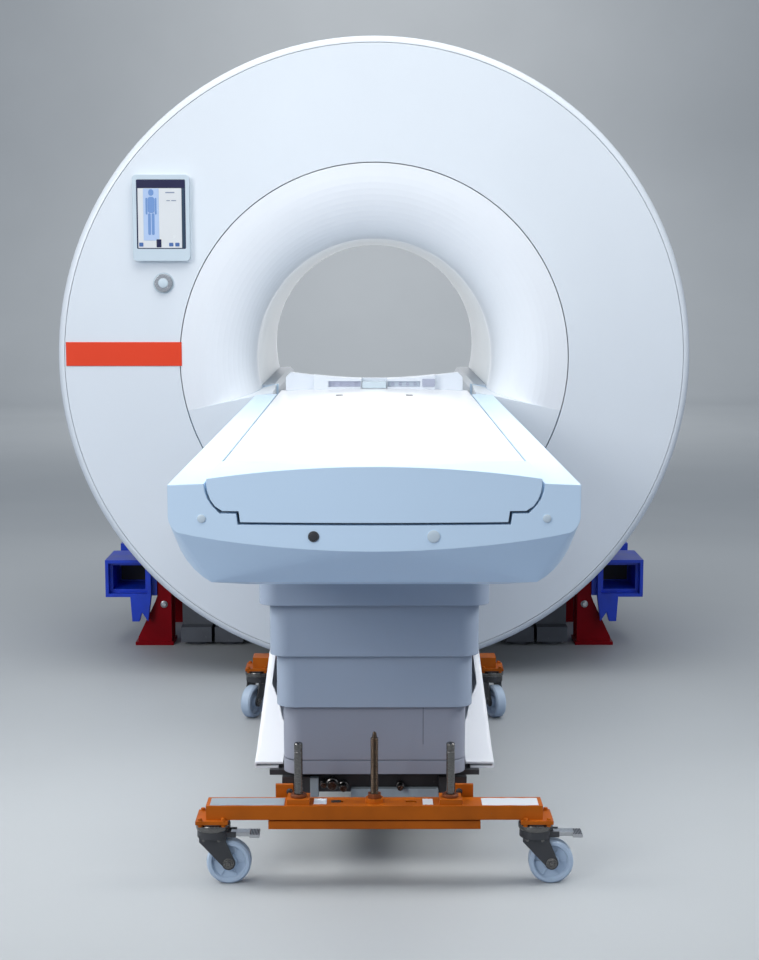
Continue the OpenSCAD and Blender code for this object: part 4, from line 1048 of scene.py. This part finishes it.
# Stage and light: colours of the floor as the camera sees it and as it throws light back
FLOOR_TONES = [(0.3, (0.45, 0.47, 0.475)), (0.7, (0.48, 0.50, 0.505))]
BOUNCE_TONE = (0.20, 0.24, 0.31)
FLOOR_HALF, FLOOR_FRONT = 70.0, -70.0
SWEEP_Y, SWEEP_R, SWEEP_STEPS = 12.0, 3.0, 24
WALL_TOP = 14.0
OBJECT_MIDDLE = (0.0, 0.0, 0.9)
TROLLEY_MIDDLE = (0.0, -1.1, 0.3)
# Name, place, aim, size, power and spread in degrees
LIGHTS = (
    ("overhead", (0.0, -1.2, 5.0), OBJECT_MIDDLE, 4.6, 168, 180),
    ("front_left", (-4.2, -5.4, 3.4), OBJECT_MIDDLE, 2.4, 145, 180),
    ("side_left", (-2.4, -1.1, 2.3), TROLLEY_MIDDLE, 1.2, 6, 50),
    ("side_right", (2.4, -1.1, 2.3), TROLLEY_MIDDLE, 1.2, 5, 50),
    ("front_right", (4.0, -5.4, 3.0), OBJECT_MIDDLE, 2.6, 13, 180),
    ("bore", (0.0, 3.4, 1.5), (0.0, 1.0, 1.05), 1.6, 11, 180),
    ("wall_wash", (0.0, 9.0, 5.6), (0.0, 14.5, 1.6), 4.0, 260, 180),
)
WORLD_TONE, WORLD_STRENGTH = (0.80, 0.88, 1.0), 0.52


def make_floor_material():
    """Pale paint with a faint drift, which throws little light back on the object."""
    material, tree, shader = new_material("floor_paint", (0.62, 0.63, 0.64), 0.55)
    tone = ramp(tree, noise(tree, 0.8, 5), FLOOR_TONES)
    rays = tree.nodes.new("ShaderNodeLightPath")
    seen = rays.outputs["Is Camera Ray"]
    for name in ("Is Glossy Ray", "Is Transmission Ray"):
        either = tree.nodes.new("ShaderNodeMath")
        either.operation = "MAXIMUM"
        tree.links.new(seen, either.inputs[0])
        tree.links.new(rays.outputs[name], either.inputs[1])
        seen = either.outputs[0]
    tree.links.new(mixed(tree, seen, BOUNCE_TONE, tone), shader.inputs["Base Color"])
    return material


def make_stage():
    """A pale floor that sweeps up into a pale wall behind the object."""
    rows = [(FLOOR_FRONT, FLOOR_Z), (SWEEP_Y, FLOOR_Z)]
    for step in range(1, SWEEP_STEPS + 1):
        a = math.radians(90 * step / SWEEP_STEPS)
        rows.append((SWEEP_Y + SWEEP_R * math.sin(a), FLOOR_Z + SWEEP_R * (1 - math.cos(a))))
    rows.append((SWEEP_Y + SWEEP_R, WALL_TOP))
    verts = [(x, y, z) for y, z in rows for x in (-FLOOR_HALF, FLOOR_HALF)]
    faces = [(2 * i, 2 * i + 1, 2 * i + 3, 2 * i + 2) for i in range(len(rows) - 1)]
    mesh = bpy.data.meshes.new("floor")
    mesh.from_pydata(verts, [], faces)
    mesh.polygons.foreach_set("use_smooth", [True] * len(faces))
    mesh.materials.append(make_floor_material())
    floor = bpy.data.objects.new("floor", mesh)
    scene.collection.objects.link(floor)


def area_light(name, place, aim, size, power, spread_angle):
    """A square soft light that looks at a point and isn't seen itself."""
    data = bpy.data.lights.new(name, "AREA")
    data.shape = "SQUARE"
    data.size = size
    data.energy = power
    data.spread = math.radians(spread_angle)
    light = bpy.data.objects.new(name, data)
    light.location = place
    light.rotation_euler = (Vector(aim) - Vector(place)).to_track_quat("-Z", "Y").to_euler()
    light.visible_camera = False
    scene.collection.objects.link(light)


def make_light():
    """Soft lights above, before, beside and behind the object, and a pale world."""
    for light in LIGHTS:
        area_light(*light)
    world = bpy.data.worlds.new("pale_room")
    scene.world = world
    world.use_nodes = True
    background = world.node_tree.nodes["Background"]
    background.inputs["Color"].default_value = (*WORLD_TONE, 1.0)
    background.inputs["Strength"].default_value = WORLD_STRENGTH
    scene.view_settings.view_transform = "Standard"


make_camera()
materials = make_materials()
dress_nodes()
make_display()
make_dial_trim()
make_foot_bolts()
make_pockets()
make_grilles()
make_rear_fixings()
make_table_caps()
make_sockets()
make_console_blocks()
make_slot_shade()
make_flanks()
make_cheeks()
make_cross_plate()
make_couplings()
for trolley, end in TROLLEYS:
    make_trolley(trolley, end)
for number, (x, end, turn) in enumerate(CASTORS, 1):
    make_castor(number, x, end, turn)
make_stage()
make_light()
